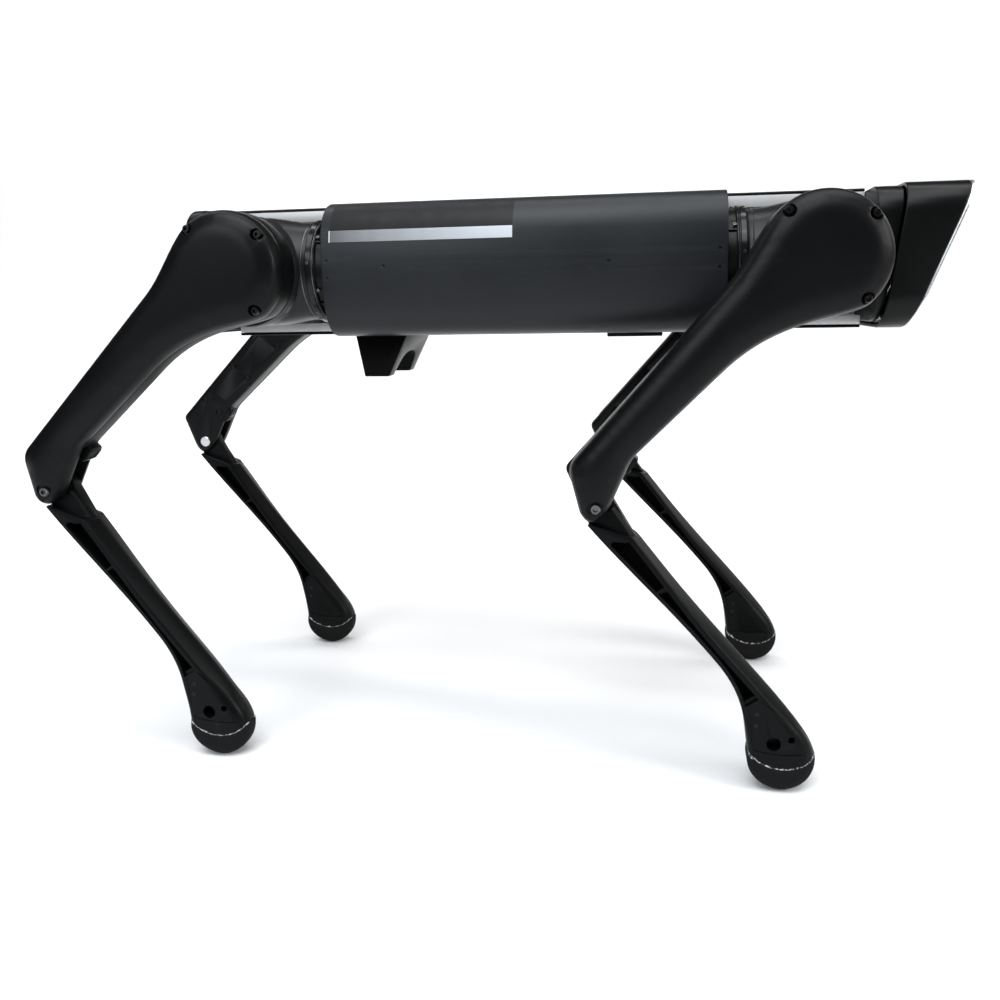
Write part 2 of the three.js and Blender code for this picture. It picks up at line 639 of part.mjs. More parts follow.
// A leg's own frame lies in its swing plane: x from hip to knee, y to the leg's front and
// z to the robot's right. Left legs use the layers mirrored in z.
function buildLeg(name, end, side, thighAngle, calfAngle) {
  part(`${name}_hip_housing`, mirrored(hipShape, end, side), darkAlloy);
  part(`${name}_thigh_motor`, mirrored(thighMotorShape, end, side), motorGloss);
  buildAbductionMotor(`${name}_abduction_motor`, end, side);

  const outwards = -side;
  const leg = new THREE.Group();
  leg.position.set(end * HIP_X, 0, 0);
  leg.rotation.set(Math.PI / 2, 0, 0);
  robot.add(leg);

  const thigh = new THREE.Group();
  thigh.rotation.z = radians(-90 - thighAngle);
  leg.add(thigh);
  const add = (label, key, material, parent) => (
    part(`${name}_${label}`, mirrored(layers[key], 1, 1, outwards), material, parent)
  );
  add('thigh_frame', 'thighFrame', legPlastic, thigh);
  add('thigh_shell', 'thighShell', legPlastic, thigh);
  add('knee_motor', 'kneeMotor', motorGloss, thigh);
  add('knee_pin', 'kneePin', steel, thigh).position.set(THIGH_LENGTH, 0, 0);

  const fold = thighAngle + calfAngle;
  const rockerAngle = radians(fold - ROCKER_ANGLE);
  const crank = add('knee_crank', 'kneeCrank', steel, thigh);
  crank.rotation.z = rockerAngle;
  const rod = add('knee_rod', 'kneeRod', bareAlloy, thigh);
  rod.position.set(
    ROCKER_RADIUS * Math.cos(rockerAngle), ROCKER_RADIUS * Math.sin(rockerAngle), 0,
  );

  const lowerLeg = new THREE.Group();
  lowerLeg.position.set(THIGH_LENGTH, 0, 0);
  lowerLeg.rotation.z = radians(fold);
  thigh.add(lowerLeg);
  add('calf', 'calf', calfAlloy, lowerLeg);
  add('foot_sole', 'footSole', rubber, lowerLeg);
}

const ends = { front: 1, rear: -1 };
const sides = { right: -1, left: 1 };
const stance = {
  front: [FRONT_THIGH_ANGLE, FRONT_CALF_ANGLE],
  rear: [REAR_THIGH_ANGLE, rearCalfAngle()],
};
for (const [endName, end] of Object.entries(ends)) {
  for (const [sideName, side] of Object.entries(sides)) {
    buildLeg(`${endName}_${sideName}`, end, side, ...stance[endName]);
  }
}

// ---- stand the robot on z = 0 with its box centred over the origin ----
const box = new THREE.Box3().setFromObject(robot, true);
const middle = box.getCenter(new THREE.Vector3());
robot.position.set(-middle.x, -middle.y, -box.min.z);
robot.updateMatrixWorld(true);

export default robot;
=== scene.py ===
"""Looks of the quadruped robot dog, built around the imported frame.

Shapes are drawn in millimetres in three kinds of local frame and then placed in metres:
the trunk's, each hip's, and each link's own plane, whose u axis runs down the link."""
import json
import math

import bpy
import numpy as np
from mathutils import Matrix, Vector
from mathutils.geometry import delaunay_2d_cdt


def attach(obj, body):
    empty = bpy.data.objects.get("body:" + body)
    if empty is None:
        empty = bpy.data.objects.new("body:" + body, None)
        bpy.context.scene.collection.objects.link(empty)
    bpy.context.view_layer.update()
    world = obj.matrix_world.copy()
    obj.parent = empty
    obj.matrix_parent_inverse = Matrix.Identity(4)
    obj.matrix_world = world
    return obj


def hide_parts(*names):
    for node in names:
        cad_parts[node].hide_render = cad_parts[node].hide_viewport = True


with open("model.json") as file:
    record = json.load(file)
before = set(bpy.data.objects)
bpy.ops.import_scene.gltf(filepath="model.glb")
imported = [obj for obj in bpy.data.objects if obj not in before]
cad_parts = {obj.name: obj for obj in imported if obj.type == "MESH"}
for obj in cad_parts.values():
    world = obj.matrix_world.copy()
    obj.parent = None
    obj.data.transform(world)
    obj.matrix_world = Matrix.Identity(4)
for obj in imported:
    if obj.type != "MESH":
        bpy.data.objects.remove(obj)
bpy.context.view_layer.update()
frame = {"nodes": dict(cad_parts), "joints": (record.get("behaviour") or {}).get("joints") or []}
joints = {joint["name"]: joint for joint in frame["joints"]}

MM = 0.001
LEGS = [(end, side) for end in ("front", "rear") for side in ("right", "left")]
END_SIGN = {"front": 1, "rear": -1}
SIDE_SIGN = {"right": -1, "left": 1}

# ---- sizes shared by the pieces, in millimetres ----
LINK = 250.0
FOOT_RADIUS = 26.5
THIGH_DISC = 47.0
THIGH_INNER = 109.5
INNER_ARM = 116.5
THIGH_SEAM = 132.0
THIGH_OUTER = 151.0
CALF_INNER = 111.0
CALF_OUTER = 138.0
TONGUE = (117.2, 126.3)
COVER_HALF_LENGTH = 163.0
COVER_SEAM_Y = 32.0
BULKHEAD_X = 277.0
HIP_OFFSET = 229.4
ABDUCTION_Y = 62.0


# ---- places read from the frame ----
def joint_point(name):
    return Vector(joints[name]["pos_m"])


def trunk_matrix():
    """Trunk frame: origin at the trunk's middle, at the height of the hip axes."""
    front = joint_point("front_right_thigh_swing")
    rear = joint_point("rear_right_thigh_swing")
    return Matrix.Translation(((front.x + rear.x) / 2, 0, front.z)) @ Matrix.Scale(MM, 4)


def hip_matrix(end, side):
    """Hip frame: x away from the trunk's middle, y outwards, z up; x from the trunk's middle."""
    flip = Matrix.Diagonal((END_SIGN[end], SIDE_SIGN[side], 1, 1))
    return trunk_matrix() @ flip


def link_matrix(origin, direction, side):
    """Link frame: u along the link, v towards the leg's front, w outwards from the trunk."""
    u = direction.normalized()
    out = SIDE_SIGN[side]
    place = Matrix((
        (u.x, -u.z, 0, origin.x / MM),
        (0, 0, out, 0),
        (u.z, u.x, 0, origin.z / MM),
        (0, 0, 0, 1),
    ))
    return Matrix.Scale(MM, 4) @ place


def thigh_matrix(end, side):
    hip = joint_point(f"{end}_{side}_thigh_swing")
    knee = joint_point(f"{end}_{side}_knee")
    return link_matrix(hip, knee - hip, side)


def calf_matrix(end, side):
    knee = joint_point(f"{end}_{side}_knee")
    drop = (knee.z / MM - FOOT_RADIUS) / LINK
    direction = Vector((math.sqrt(1 - drop * drop), 0, -drop))
    return link_matrix(knee, direction, side)


# ---- curves ----
def bezier(p0, p1, p2, p3, steps):
    points = []
    for i in range(1, steps + 1):
        t = i / steps
        s = 1 - t
        weights = (s ** 3, 3 * s * s * t, 3 * s * t * t, t ** 3)
        points.append(tuple(
            sum(w * p[k] for w, p in zip(weights, (p0, p1, p2, p3))) for k in (0, 1)
        ))
    return points


def line(p0, p1, steps):
    return [(p0[0] + (p1[0] - p0[0]) * i / steps, p0[1] + (p1[1] - p0[1]) * i / steps)
            for i in range(1, steps + 1)]


def arc(cx, cy, radius, start, end, steps):
    """Points after the start angle up to the end angle, in degrees."""
    return [(cx + radius * math.cos(math.radians(start + (end - start) * i / steps)),
             cy + radius * math.sin(math.radians(start + (end - start) * i / steps)))
            for i in range(1, steps + 1)]


def circle(cx, cy, radius, steps):
    return arc(cx, cy, radius, 0, 360, steps)


def rounded_rect(x0, x1, y0, y1, radius, steps=12):
    corners = ((x1, y1, 0), (x0, y1, 90), (x0, y0, 180), (x1, y0, 270))
    points = []
    for x, y, start in corners:
        cx = x - radius if x == x1 else x + radius
        cy = y - radius if y == y1 else y + radius
        points += arc(cx, cy, radius, start - 90 / steps, start + 90, steps + 1)
    return points


def beside(points):
    """Unit vectors to the left of an open polyline, one for each point."""
    along = np.gradient(np.array(points), axis=0)
    along /= np.linalg.norm(along, axis=1)[:, None]
    return np.stack([-along[:, 1], along[:, 0]], 1)


def smooth(low, high, value):
    """A step from 0 at low to 1 at high, with level ends."""
    t = min(max((value - low) / (high - low), 0.0), 1.0)
    return t * t * (3 - 2 * t)


def edge_inset(radius, depth):
    """How far a rounded edge has drawn in, at a depth below the face that it meets."""
    rest = radius - min(depth, radius)
    return radius - math.sqrt(max(radius ** 2 - rest ** 2, 0))


def offset(points, distance):
    """The closed outline moved inwards by one distance, or by one for each point; points run
    anticlockwise."""
    p = np.array(points)
    ahead = np.roll(p, -1, 0) - p
    behind = p - np.roll(p, 1, 0)
    ahead /= np.linalg.norm(ahead, axis=1)[:, None]
    behind /= np.linalg.norm(behind, axis=1)[:, None]
    tangent = ahead + behind
    tangent /= np.linalg.norm(tangent, axis=1)[:, None]
    inward = np.stack([-tangent[:, 1], tangent[:, 0]], 1)
    stretch = 1 / np.maximum(np.sum(tangent * ahead, 1), 0.5)
    return [tuple(q) for q in p + inward * (np.asarray(distance) * stretch)[:, None]]


def anticlockwise(points):
    area = sum(a[0] * b[1] - b[0] * a[1] for a, b in zip(points, points[1:] + points[:1]))
    return points if area > 0 else points[::-1]


def distance_to_outline(points, outline):
    p = np.array(points)[:, None, :]
    a = np.array(outline)[None, :, :]
    b = np.roll(np.array(outline), -1, 0)[None, :, :]
    ab = b - a
    t = np.clip(np.sum((p - a) * ab, 2) / np.sum(ab * ab, 2), 0, 1)
    return np.min(np.linalg.norm(p - (a + ab * t[..., None]), axis=2), 1)


def inside_outline(points, outline):
    p = np.array(points)
    a = np.array(outline)
    b = np.roll(a, -1, 0)
    x, y = p[:, 0][:, None], p[:, 1][:, None]
    spans = (a[:, 1] > y) != (b[:, 1] > y)
    rise = np.where(b[:, 1] == a[:, 1], 1e-9, b[:, 1] - a[:, 1])
    crossing = a[:, 0] + (y - a[:, 1]) * (b[:, 0] - a[:, 0]) / rise
    return np.sum(spans & (x < crossing), 1) % 2 == 1


# ---- meshes in local millimetres ----
class Shape:
    """A closed mesh as vertex and face lists."""

    def __init__(self, verts=(), faces=()):
        self.verts = [tuple(v) for v in verts]
        self.faces = [tuple(f) for f in faces]

    def add(self, other):
        base = len(self.verts)
        self.verts += other.verts
        self.faces += [tuple(i + base for i in f) for f in other.faces]
        return self

    def moved(self, matrix):
        verts = [tuple(matrix @ Vector(v)) for v in self.verts]
        flip = matrix.to_3x3().determinant() < 0
        faces = [f[::-1] for f in self.faces] if flip else list(self.faces)
        return Shape(verts, faces)


def joined(shapes):
    whole = Shape()
    for shape in shapes:
        whole.add(shape)
    return whole


def loft(rings, capped=True):
    """Rings of equal length, joined in order into a closed body; each ring anticlockwise
    when seen from the side that the rings advance towards."""
    count = len(rings[0])
    shape = Shape([v for ring in rings for v in ring])
    for r in range(len(rings) - 1):
        low, high = r * count, (r + 1) * count
        for i in range(count):
            j = (i + 1) % count
            shape.faces.append((low + i, low + j, high + j, high + i))
    if capped:
        shape.faces.append(tuple(range(count))[::-1])
        top = (len(rings) - 1) * count
        shape.faces.append(tuple(range(top, top + count)))
    return shape


def prism(outline, w0, w1, bevel0=0.0, bevel1=0.0, steps=3):
    """An outline extruded in w, with its edges rounded by bevel0 and bevel1."""
    outline = anticlockwise(list(outline))
    rings = []
    if bevel0:
        for i in range(steps + 1):
            turn = math.pi / 2 * i / steps
            ring = offset(outline, bevel0 * (1 - math.sin(turn)))
            rings.append([(x, y, w0 + bevel0 * (1 - math.cos(turn))) for x, y in ring])
    else:
        rings.append([(x, y, w0) for x, y in outline])
    if bevel1:
        for i in range(steps + 1):
            turn = math.pi / 2 * i / steps
            ring = offset(outline, bevel1 * (1 - math.cos(turn)))
            rings.append([(x, y, w1 - bevel1 * (1 - math.sin(turn))) for x, y in ring])
    else:
        rings.append([(x, y, w1) for x, y in outline])
    return loft(rings)


def box(x0, x1, y0, y1, z0, z1):
    return prism([(x0, y0), (x1, y0), (x1, y1), (x0, y1)], z0, z1)


def turned(profile, segments=96, axis="z", centre=(0, 0, 0)):
    """A profile of (radius, height) points that starts and ends on the axis."""
    verts = [(0, 0, profile[0][1])]
    inner = profile[1:-1]
    for r, h in inner:
        verts += [(r * math.cos(2 * math.pi * k / segments),
                   r * math.sin(2 * math.pi * k / segments), h) for k in range(segments)]
    verts.append((0, 0, profile[-1][1]))
    faces = []
    last = len(verts) - 1
    for k in range(segments):
        m = (k + 1) % segments
        faces.append((0, 1 + m, 1 + k))
        for ring in range(len(inner) - 1):
            low, high = 1 + ring * segments, 1 + (ring + 1) * segments
            faces.append((low + k, low + m, high + m, high + k))
        top = 1 + (len(inner) - 1) * segments
        faces.append((top + k, top + m, last))
    shape = Shape(verts, faces)
    turn = {"z": Matrix.Identity(4), "x": Matrix.Rotation(math.pi / 2, 4, "Y"),
            "y": Matrix.Rotation(-math.pi / 2, 4, "X")}[axis]
    return shape.moved(Matrix.Translation(centre) @ turn)


def dowel(radius, low, high, segments, axis="z", centre=(0, 0, 0)):
    """A plain round bar between two heights along its axis."""
    return turned([(0, low), (radius, low), (radius, high), (0, high)], segments, axis, centre)


def to_object(name, shape, matrix=Matrix.Identity(4)):
    moved = shape.moved(matrix)
    mesh = bpy.data.meshes.new(name)
    mesh.from_pydata(moved.verts, [], moved.faces)
    mesh.update()
    obj = bpy.data.objects.new(name, mesh)
    bpy.context.scene.collection.objects.link(obj)
    return obj


def from_object(obj):
    """The object's final mesh as a Shape, and the object removed."""
    evaluated = obj.evaluated_get(bpy.context.evaluated_depsgraph_get())
    mesh = evaluated.to_mesh()
    shape = Shape([tuple(v.co) for v in mesh.vertices], [tuple(p.vertices) for p in mesh.polygons])
    evaluated.to_mesh_clear()
    data = obj.data
    bpy.data.objects.remove(obj)
    bpy.data.meshes.remove(data)
    return shape


def carved(shape, cutters, operation="DIFFERENCE"):
    """The shape with each cutter removed from it, or joined to it."""
    for cutter in cutters:
        base = to_object("carve_base", shape)
        tool = to_object("carve_tool", cutter)
        modifier = base.modifiers.new("carve", "BOOLEAN")
        modifier.operation = operation
        modifier.solver = "EXACT"
        modifier.object = tool
        shape = from_object(base)
        data = tool.data
        bpy.data.objects.remove(tool)
        bpy.data.meshes.remove(data)
    return shape


def softened(shape, width, angle=32, segments=2):
    """The shape with its sharp edges rounded."""
    obj = to_object("soften", shape)
    modifier = obj.modifiers.new("soften", "BEVEL")
    modifier.width = width
    modifier.segments = segments
    modifier.limit_method = "ANGLE"
    modifier.angle_limit = math.radians(angle)
    modifier.use_clamp_overlap = True
    return from_object(obj)


def pillow(outline, w_base, height, reach, power, crown):
    """A closed body on a flat base whose top rises steeply from the outline and levels out
    at the given reach inside it."""
    outline = anticlockwise(list(outline))

    def rise(distance):
        t = np.clip(np.asarray(distance) / reach, 0, 1)
        return height * (1 - (1 - t) ** power) ** (1 / power)

    step = 3.2
    depths = (0.0, 0.12, 0.4, 0.9, 1.6, 2.6, 3.9)
    rings = [[(x, y, w_base) for x, y in outline]]
    for depth in depths[1:]:
        rings.append([(x, y, w_base + float(rise(depth))) for x, y in offset(outline, depth)])
    count = len(outline)
    shape = loft(rings, capped=False)
    shape.faces.append(tuple(range(count))[::-1])
    rim = [(x, y) for x, y, _ in rings[-1]]
    low = np.min(outline, 0)
    high = np.max(outline, 0)
    grid = [(x + (step / 2 if row % 2 else 0), y)
            for row, y in enumerate(np.arange(low[1], high[1], step * 0.87))
            for x in np.arange(low[0], high[0], step)]
    near = distance_to_outline(grid, outline)
    keep = inside_outline(grid, outline) & (near > depths[-1] + 0.55 * step)
    grid = [g for g, k in zip(grid, keep) if k]
    flat = [Vector(p) for p in rim + grid]
    loop = list(range(count))
    edges = [(i, (i + 1) % count) for i in loop]
    verts, _, faces, _, _, _ = delaunay_2d_cdt(flat, edges, [loop], 1, 1e-5)
    top = np.array([tuple(v) for v in verts])
    levels = w_base + rise(distance_to_outline(top, outline))
    radius = np.linalg.norm(top, axis=1)
    levels += crown * np.clip(1 - (radius / THIGH_DISC) ** 2, 0, 1) ** 1.5
    around = [set() for _ in verts]
    for face in faces:
        for a, b in zip(face, face[1:] + face[:1]):
            around[a].add(b)
            around[b].add(a)
    for _ in range(8):
        smoothed = levels.copy()
        for i, others in enumerate(around):
            if i >= count and others:
                smoothed[i] = 0.4 * levels[i] + 0.6 * np.mean([levels[k] for k in others])
        levels = smoothed
    base = (len(depths) - 1) * count
    index = {}
    for i, (x, y) in enumerate(top):
        index[i] = base + i if i < count else len(shape.verts)
        if i >= count:
            shape.verts.append((x, y, float(levels[i])))
    for face in faces:
        a, b, c = (top[k] for k in face)
        turn = (b[0] - a[0]) * (c[1] - a[1]) - (b[1] - a[1]) * (c[0] - a[0])
        ordered = face if turn > 0 else face[::-1]
        shape.faces.append(tuple(index[k] for k in ordered))
    return shape


# ---- pieces ----
SHARP_EDGE = math.radians(34)


def piece(name, shape, matrix, body, material, replaces=()):
    obj = to_object(name, shape, matrix)
    mesh = obj.data
    mesh.shade_smooth()
    mesh.set_sharp_from_angle(angle=SHARP_EDGE)
    mesh.materials.append(MATERIALS[material])
    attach(obj, body)
    if replaces:
        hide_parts(*replaces)
    return obj


# ---- materials ----
class Nodes:
    """A material's node tree with short helpers."""

    def __init__(self, name, roughness, metallic=0.0, specular=0.5, coat=0.0, coat_roughness=0.1):
        self.material = bpy.data.materials.new(name)
        self.material.use_nodes = True
        self.tree = self.material.node_tree
        self.shader = self.tree.nodes["Principled BSDF"]
        self.shader.inputs["Roughness"].default_value = roughness
        self.shader.inputs["Metallic"].default_value = metallic
        self.shader.inputs["Specular IOR Level"].default_value = specular
        self.shader.inputs["Coat Weight"].default_value = coat
        self.shader.inputs["Coat Roughness"].default_value = coat_roughness
        self.coordinates = self.node("ShaderNodeTexCoord").outputs["Object"]

    def node(self, kind, **values):
        made = self.tree.nodes.new(kind)
        for key, value in values.items():
            setattr(made, key, value)
        return made

    def link(self, source, target):
        self.tree.links.new(source, target)

    def noise(self, scale, detail=3.0, stretch=None, distortion=0.0):
        texture = self.node("ShaderNodeTexNoise")
        texture.inputs["Scale"].default_value = scale
        texture.inputs["Detail"].default_value = detail
        texture.inputs["Distortion"].default_value = distortion
        source = self.coordinates
        if stretch:
            mapping = self.node("ShaderNodeMapping")
            mapping.inputs["Scale"].default_value = stretch
            self.link(source, mapping.inputs["Vector"])
            source = mapping.outputs["Vector"]
        self.link(source, texture.inputs["Vector"])
        return texture.outputs["Fac"]

    def ramp(self, factor, stops):
        ramp = self.node("ShaderNodeValToRGB")
        elements = ramp.color_ramp.elements
        for element, (place, color) in zip(elements, (stops[0], stops[-1])):
            element.position = place
            element.color = (*color, 1)
        for place, color in stops[1:-1]:
            elements.new(place).color = (*color, 1)
        self.link(factor, ramp.inputs["Fac"])
        return ramp.outputs["Color"]

    def mix(self, factor, first, second):
        mix = self.node("ShaderNodeMix", data_type="RGBA")
        self.link(factor, mix.inputs["Factor"])
        for value, socket in ((first, mix.inputs["A"]), (second, mix.inputs["B"])):
            if isinstance(value, tuple):
                socket.default_value = (*value, 1)
            else:
                self.link(value, socket)
        return mix.outputs["Result"]

    def color(self, source):
        self.link(source, self.shader.inputs["Base Color"])

    def roughness(self, factor, low, high):
        spread = self.node("ShaderNodeMapRange")
        spread.inputs["To Min"].default_value = low
        spread.inputs["To Max"].default_value = high
        spread.inputs["From Min"].default_value = 0.3
        spread.inputs["From Max"].default_value = 0.7
        self.link(factor, spread.inputs["Value"])
        self.link(spread.outputs["Result"], self.shader.inputs["Roughness"])

    def bumps(self, *layers):
        """Bump from (factor, strength, distance) layers, chained."""
        normal = None
        for factor, strength, distance in layers:
            bump = self.node("ShaderNodeBump")
            bump.inputs["Strength"].default_value = strength
            bump.inputs["Distance"].default_value = distance
            self.link(factor, bump.inputs["Height"])
            if normal:
                self.link(normal, bump.inputs["Normal"])
            normal = bump.outputs["Normal"]
        self.link(normal, self.shader.inputs["Normal"])


def grey(level, blue=0.0):
    return (level, level * (1 + 0.4 * blue), level * (1 + blue))


def scuffed_plastic(name, level, roughness, grain, spread=0.08, blue=0.08, specular=0.2):
    """Moulded plastic: fine grain, cloudy gloss, faint handling marks and settled dust."""
    n = Nodes(name, roughness, specular=specular)
    clouds = n.noise(14, 4)
    fine = n.noise(grain, 2)
    marks = n.noise(60, 6, stretch=(1, 1, 3.5), distortion=1.2)
    base = n.mix(clouds, grey(level * 0.82, blue), grey(level * 1.2, blue))
    worn = n.ramp(marks, [(0.66, grey(0.0)), (0.84, grey(1.0))])
    scuffs = n.mix(worn, base, grey(level * 1.7 + 0.002, blue))
    n.color(scuffs)
    n.roughness(clouds, roughness - spread / 2, roughness + spread / 2)
    n.bumps((fine, 0.35, 0.00006), (marks, 0.08, 0.00008))
    return n.material


def anodised(name, level, roughness, coat=0.0):
    """Dark anodised or coated metal with fine machining lines."""
    n = Nodes(name, roughness, 0.15, 0.22, coat, 0.12)
    clouds = n.noise(22, 3)
    lines = n.noise(900, 2, stretch=(1, 0.04, 1))
    n.color(n.mix(clouds, grey(level * 0.85, 0.06), grey(level * 1.18, 0.06)))
    n.roughness(clouds, roughness - 0.05, roughness + 0.07)
    n.bumps((lines, 0.12, 0.00004))
    return n.material


def bare_metal(name, level, roughness, stretch=(0.03, 1, 1), metallic=1.0):
    """Brushed or turned bright metal."""
    n = Nodes(name, roughness, metallic)
    brush = n.noise(1400, 3, stretch=stretch)
    stains = n.noise(30, 4)
    n.color(n.mix(stains, grey(level * 0.9), grey(level * 1.04)))
    n.roughness(brush, roughness - 0.06, roughness + 0.1)
    n.bumps((brush, 0.18, 0.00003))
    return n.material


def worn_rubber():
    n = Nodes("sole_rubber", 0.82, specular=0.08)
    grain = n.noise(1800, 3)
    dirt = n.noise(95, 6, distortion=0.6)
    base = n.mix(dirt, grey(0.004, 0.05), grey(0.012, 0.02))
    n.color(base)
    n.roughness(dirt, 0.72, 0.92)
    n.bumps((grain, 0.5, 0.0001), (dirt, 0.25, 0.0003))
    return n.material


def scraped_edge():
    """The pale, ragged line of glue and wear between a foot and its sole."""
    n = Nodes("scraped_edge", 0.75)
    ragged = n.noise(420, 5, distortion=0.8)
    n.color(n.ramp(ragged, [(0.42, grey(0.02)), (0.5, grey(0.2)), (0.62, grey(0.55))]))
    n.bumps((ragged, 0.6, 0.0002))
    return n.material


def dark_glass():
    n = Nodes("visor_glass", 0.07, specular=0.6, coat=0.6, coat_roughness=0.03)
    smears = n.noise(26, 5, distortion=0.9)
    n.color(n.mix(smears, grey(0.004), grey(0.009)))
    n.roughness(smears, 0.05, 0.16)
    return n.material


def film(name, low, high, roughness, metallic=0.0, specular=0.3):
    """A self-adhesive film whose colour pales from low at the rear to high at the front of the
    trunk: the paling is a painted reflection.
    """
    n = Nodes(name, roughness, metallic, specular=specular)
    streaks = n.noise(120, 4, stretch=(1, 1, 0.12))
    place = n.node("ShaderNodeSeparateXYZ")
    n.link(n.coordinates, place.inputs["Vector"])
    along = n.node("ShaderNodeMapRange")
    along.inputs["From Min"].default_value = -0.12
    along.inputs["From Max"].default_value = 0.03
    n.link(place.outputs["X"], along.inputs["Value"])
    # painted reflection: the film's colour rises from low to high towards the front
    painted_sheen = n.mix(along.outputs["Result"], grey(low, 0.1), grey(high, 0.12))
    n.color(painted_sheen)
    n.roughness(streaks, roughness - 0.06, roughness + 0.1)
    n.bumps((n.noise(2200, 2), 0.15, 0.00003))
    return n.material


MATERIALS = {
    "cover": scuffed_plastic("cover_plastic", 0.01, 0.4, 2600, blue=0.3, specular=0.22),
    "trunk": scuffed_plastic("trunk_plastic", 0.0025, 0.33, 2400, specular=0.14),
    "leg": scuffed_plastic("leg_plastic", 0.0016, 0.38, 3000, blue=0.25, specular=0.14),
    "calf": scuffed_plastic("calf_finish", 0.0018, 0.4, 1700, 0.1, blue=0.2, specular=0.1),
    "alloy": anodised("dark_alloy", 0.01, 0.32),
    "motor": anodised("motor_shell", 0.006, 0.2, coat=0.08),
    "bare": bare_metal("bare_alloy", 0.8, 0.3),
    "raw": bare_metal("raw_alloy", 0.55, 0.4, metallic=0.3),
    "steel": bare_metal("bright_steel", 0.68, 0.24, stretch=(1, 1, 1)),
    "pin": bare_metal("pin_steel", 0.14, 0.3, stretch=(1, 1, 1)),
    "screw": bare_metal("dark_screw", 0.035, 0.3, stretch=(1, 1, 1)),
    "rubber": worn_rubber(),
    "scrape": scraped_edge(),
    "gloss": scuffed_plastic("gloss_plastic", 0.0015, 0.3, 2200, 0.06, specular=0.05),
    "glass": dark_glass(),
    # both band films carry a painted reflection that pales towards the front
    "band_dark": film("dark_band_film", 0.008, 0.012, 0.4, specular=0.1),
    "band_light": film("reflective_band_film", 0.075, 0.44, 0.4, 0.2),
    # a darker plastic used as painted shade on the calf's pocket floors
    "painted_pocket_shade": scuffed_plastic("painted_shade_dark", 0.0012, 0.8, 1500, 0.1, specular=0.04),
}


# ---- small parts ----
def cap_screw(radius, height, axis_matrix, socket=0.52):
    """A socket-head screw along +z of its matrix, head top at z = 0."""
    r = radius
    hexagon = r * socket
    profile = [(0, -height), (r * 0.97, -height), (r, -height + 0.2), (r, -0.25 * r),
               (r * 0.86, 0), (hexagon * 1.02, 0), (hexagon, -0.06 * r),
               (hexagon * 0.98, -0.6 * height), (0, -0.62 * height)]
    return turned(profile, 28).moved(axis_matrix)


def screw_at(x, y, w, radius=2.4, height=2.6, outward=1):
    flip = Matrix.Identity(4) if outward > 0 else Matrix.Rotation(math.pi, 4, "X")
    return cap_screw(radius, height, Matrix.Translation((x, y, w)) @ flip)


# ---- thigh ----
def thigh_outline(knee_end):
    """The thigh's side outline, closed by the given run of points round the knee."""
    front, back = math.radians(82.5), math.radians(-83)
    disc_front = (THIGH_DISC * math.cos(front), THIGH_DISC * math.sin(front))
    disc_back = (THIGH_DISC * math.cos(back), THIGH_DISC * math.sin(back))
    points = bezier(disc_front, (26, 41), (50, 8), (105, 2.6), 18)
    points += line((105, 2.6), (LINK - 56, -3.6), 12)
    points += bezier((LINK - 56, -3.6), (LINK - 50, -4.2), (LINK - 47, -4), (LINK - 42, -3), 5)
    points += knee_end
    points += line(knee_end[-1], (59, -38), 20)
    points += bezier((59, -38), (42, -38.2), (24, -44.5), disc_back, 7)
    points += arc(0, 0, THIGH_DISC, -83, -277.5, 56)
    return anticlockwise(points)


def shell_knee_end():
    points = line((LINK - 42, -3), (LINK - 10, 7), 5)
    points += bezier((LINK - 10, 7), (LINK + 5, 12.5), (LINK + 19, 9), (LINK + 12.5, -7), 16)
    points += line((LINK + 12.5, -7), (LINK - 3, -30), 4)
    points += bezier((LINK - 3, -30), (LINK - 7, -35.5), (LINK - 12, -38), (LINK - 18, -38), 8)
    return points


def frame_knee_end():
    """As on the shell, but with a sharper heel behind the knee."""
    points = line((LINK - 42, -3), (LINK - 10, 7), 5)
    points += bezier((LINK - 10, 7), (LINK + 5, 12.5), (LINK + 19, 9), (LINK + 12.5, -7), 16)
    points += line((LINK + 12.5, -7), (LINK + 0.5, -32), 4)
    points += bezier((LINK + 0.5, -32), (LINK - 1, -36), (LINK - 3, -38), (LINK - 7, -38), 6)
    return points


SCREW_CIRCLE = 41.8
SCREW_TURN = -7


def hip_screw_places():
    for angle in (90, 180, 270):
        turn = math.radians(angle + SCREW_TURN)
        yield SCREW_CIRCLE * math.cos(turn), SCREW_CIRCLE * math.sin(turn)


def thigh_shell_shape():
    body = pillow(thigh_outline(shell_knee_end()), THIGH_SEAM, 18.2, 17.0, 2.5, crown=0.8)
    cutters = [turned([(0, THIGH_OUTER - 8), (4.4, THIGH_OUTER - 8), (5.0, THIGH_OUTER - 7),
                       (5.0, THIGH_OUTER + 5), (0, THIGH_OUTER + 5)], 40, centre=(x, y, 0))
               for x, y in hip_screw_places()]
    cutters.append(dowel(6.9, THIGH_OUTER - 5, THIGH_OUTER + 5, 40, centre=(LINK, 0, 0)))
    return softened(carved(body, cutters), 0.35, 40)


INNER_SCREWS = ((108, -5.5), (158, -9.5), (212, -9.5), (112, -30.5), (160, -30.5), (212, -30.5),
                (-34, 26), (-40, -16), (4, -42), (30, 28))


